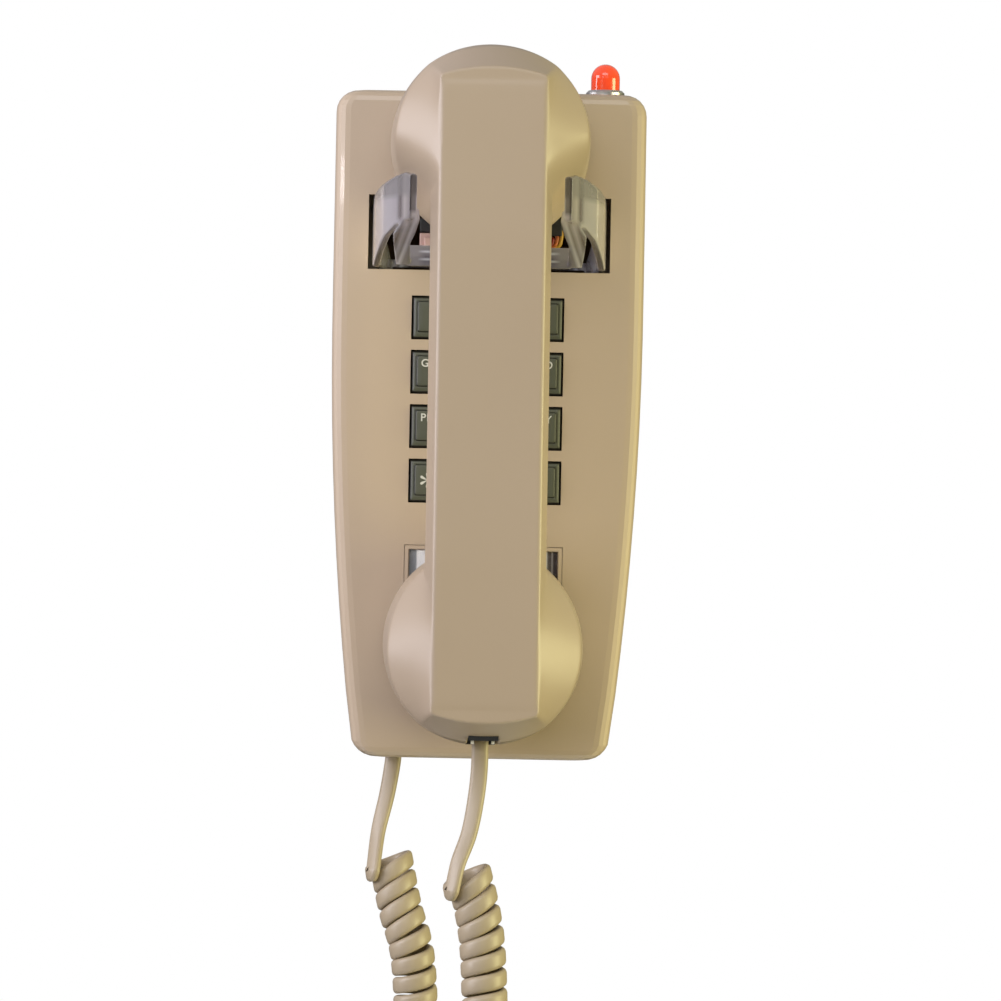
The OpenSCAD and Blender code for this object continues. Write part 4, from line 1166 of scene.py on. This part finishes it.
for finish, names in NODE_FINISH.items():
    for name in names:
        wear(nodes[name], FINISHES[finish])
wear(cord, FINISHES["cord_plastic"])
wear(handset, FINISHES["handset_plastic_shaded"])
wear(card, FINISHES["card_paper"])
for piece in jack_shade_lining:
    wear(piece, FINISHES["dark_plastic"])
for piece in jack_tabs:
    wear(piece, FINISHES["tab"])
wear(cradle, FINISHES["smoke_clear"])
WIRE_FINISHES = [
    moulded(f"wire_{k}", srgb(*c), srgb(*(v * 0.9 for v in c)), 0.4).mat
    for k, c in enumerate(WIRE_COLORS)
]
for wire, finish in zip(switch_wires, WIRE_FINISHES):
    wear(wire, finish)
for piece in terminal:
    wear(piece, FINISHES["dark_plastic" if piece.name.endswith("cover") else "terminal"])
for key, mark in keys:
    wear(key, FINISHES["key_plastic"])
    wear(mark, LEGEND)


# ---- Light, floor and white background ----


# Name, place, aim, size, power and colour. The last two are small and bright, for the
# glints on the housing's rounded edges.
LAMPS = [
    ("left", (-1, -0.4, 0.2), (0, -0.05, 0), (0.6, 0.9), 10, (0.95, 0.92, 1)),
    ("right", (0.95, -0.36, -0.13), (0, -0.05, -0.06), (0.5, 0.7), 9, (1, 0.94, 0.48)),
    ("front", (-0.12, -1.35, 0.8), (0, -0.05, 0.02), (1.1, 0.65), 5.6, (0.97, 0.97, 1)),
    ("glint_left", (-0.66, -0.83, 0.2), (0, -0.05, 0.08), (0.35, 0.04), 1.8, (1, 0.97, 1)),
    ("glint_right", (0.78, -0.76, 0.1), (0, -0.05, 0.03), (0.04, 0.15), 0.7, (1, 0.98, 0.8)),
]


def area_light(name, place, aim, size, power, color):
    data = bpy.data.lights.new(name, "AREA")
    data.shape = "RECTANGLE"
    data.size, data.size_y = size
    data.energy = power
    data.color = color
    lamp = bpy.data.objects.new(name, data)
    bpy.context.scene.collection.objects.link(lamp)
    lamp.location = place
    lamp.rotation_euler = (Vector(aim) - Vector(place)).to_track_quat("-Z", "Y").to_euler()


def seen_white(tree, color):
    """The colour, but white to the camera and through clear pieces."""
    path = tree.nodes.new("ShaderNodeLightPath")
    seen = tree.nodes.new("ShaderNodeMath")
    seen.operation = "MAXIMUM"
    tree.links.new(path.outputs["Is Camera Ray"], seen.inputs[0])
    tree.links.new(path.outputs["Is Transmission Ray"], seen.inputs[1])
    mix = tree.nodes.new("ShaderNodeMix")
    mix.data_type = "RGBA"
    tree.links.new(color, mix.inputs[6])
    mix.inputs[7].default_value = (1, 1, 1, 1)
    tree.links.new(seen.outputs[0], mix.inputs[0])
    return mix.outputs[2]


# Axis, where the change along it starts, and the colours before and after it.
WORLD_TONES = [
    ("X", -0.6, (0.46, 0.45, 0.5), (0.34, 0.33, 0.25)),
    ("Z", -0.25, (0.04, 0.04, 0.04), (1, 1, 1)),
]


def make_world():
    """Soft light from all round: cool on the left, warm on the right, less from below."""
    world = bpy.data.worlds.new("studio")
    world.use_nodes = True
    bpy.context.scene.world = world
    tree = world.node_tree
    back = tree.nodes["Background"]
    axes = tree.nodes.new("ShaderNodeSeparateXYZ")
    tree.links.new(tree.nodes.new("ShaderNodeTexCoord").outputs["Generated"], axes.inputs[0])
    last = None
    for axis, start, low, high in WORLD_TONES:
        span = tree.nodes.new("ShaderNodeMapRange")
        span.inputs[1].default_value = start
        span.inputs[2].default_value = 0.6
        tree.links.new(axes.outputs[axis], span.inputs[0])
        mix = tree.nodes.new("ShaderNodeMix")
        mix.data_type = "RGBA"
        mix.inputs[6].default_value = (*low, 1)
        mix.inputs[7].default_value = (*high, 1)
        tree.links.new(span.outputs[0], mix.inputs[0])
        if last is not None:
            both = tree.nodes.new("ShaderNodeMix")
            both.data_type = "RGBA"
            both.blend_type = "MULTIPLY"
            both.inputs[0].default_value = 1
            tree.links.new(last, both.inputs[6])
            tree.links.new(mix.outputs[2], both.inputs[7])
            mix = both
        last = mix.outputs[2]
    tree.links.new(seen_white(tree, last), back.inputs["Color"])


FLOOR_R = 0.5
FLOOR_Z = -0.7


def make_floor():
    bm = bmesh.new()
    bmesh.ops.create_circle(bm, cap_ends=True, radius=FLOOR_R, segments=96)
    bmesh.ops.translate(bm, verts=bm.verts, vec=(0, 0, FLOOR_Z))
    floor = link_mesh("floor", bm, smooth=False)
    f = Finish("floor", (0.8, 0.8, 0.8), 0.8)
    f.paint(f.blend(f.noise(6, 3), (0.81, 0.81, 0.81), (0.79, 0.79, 0.79)))
    wear(floor, f.mat)


make_world()
make_floor()
for lamp in LAMPS:
    area_light(*lamp)

bpy.context.scene.view_settings.view_transform = "Standard"
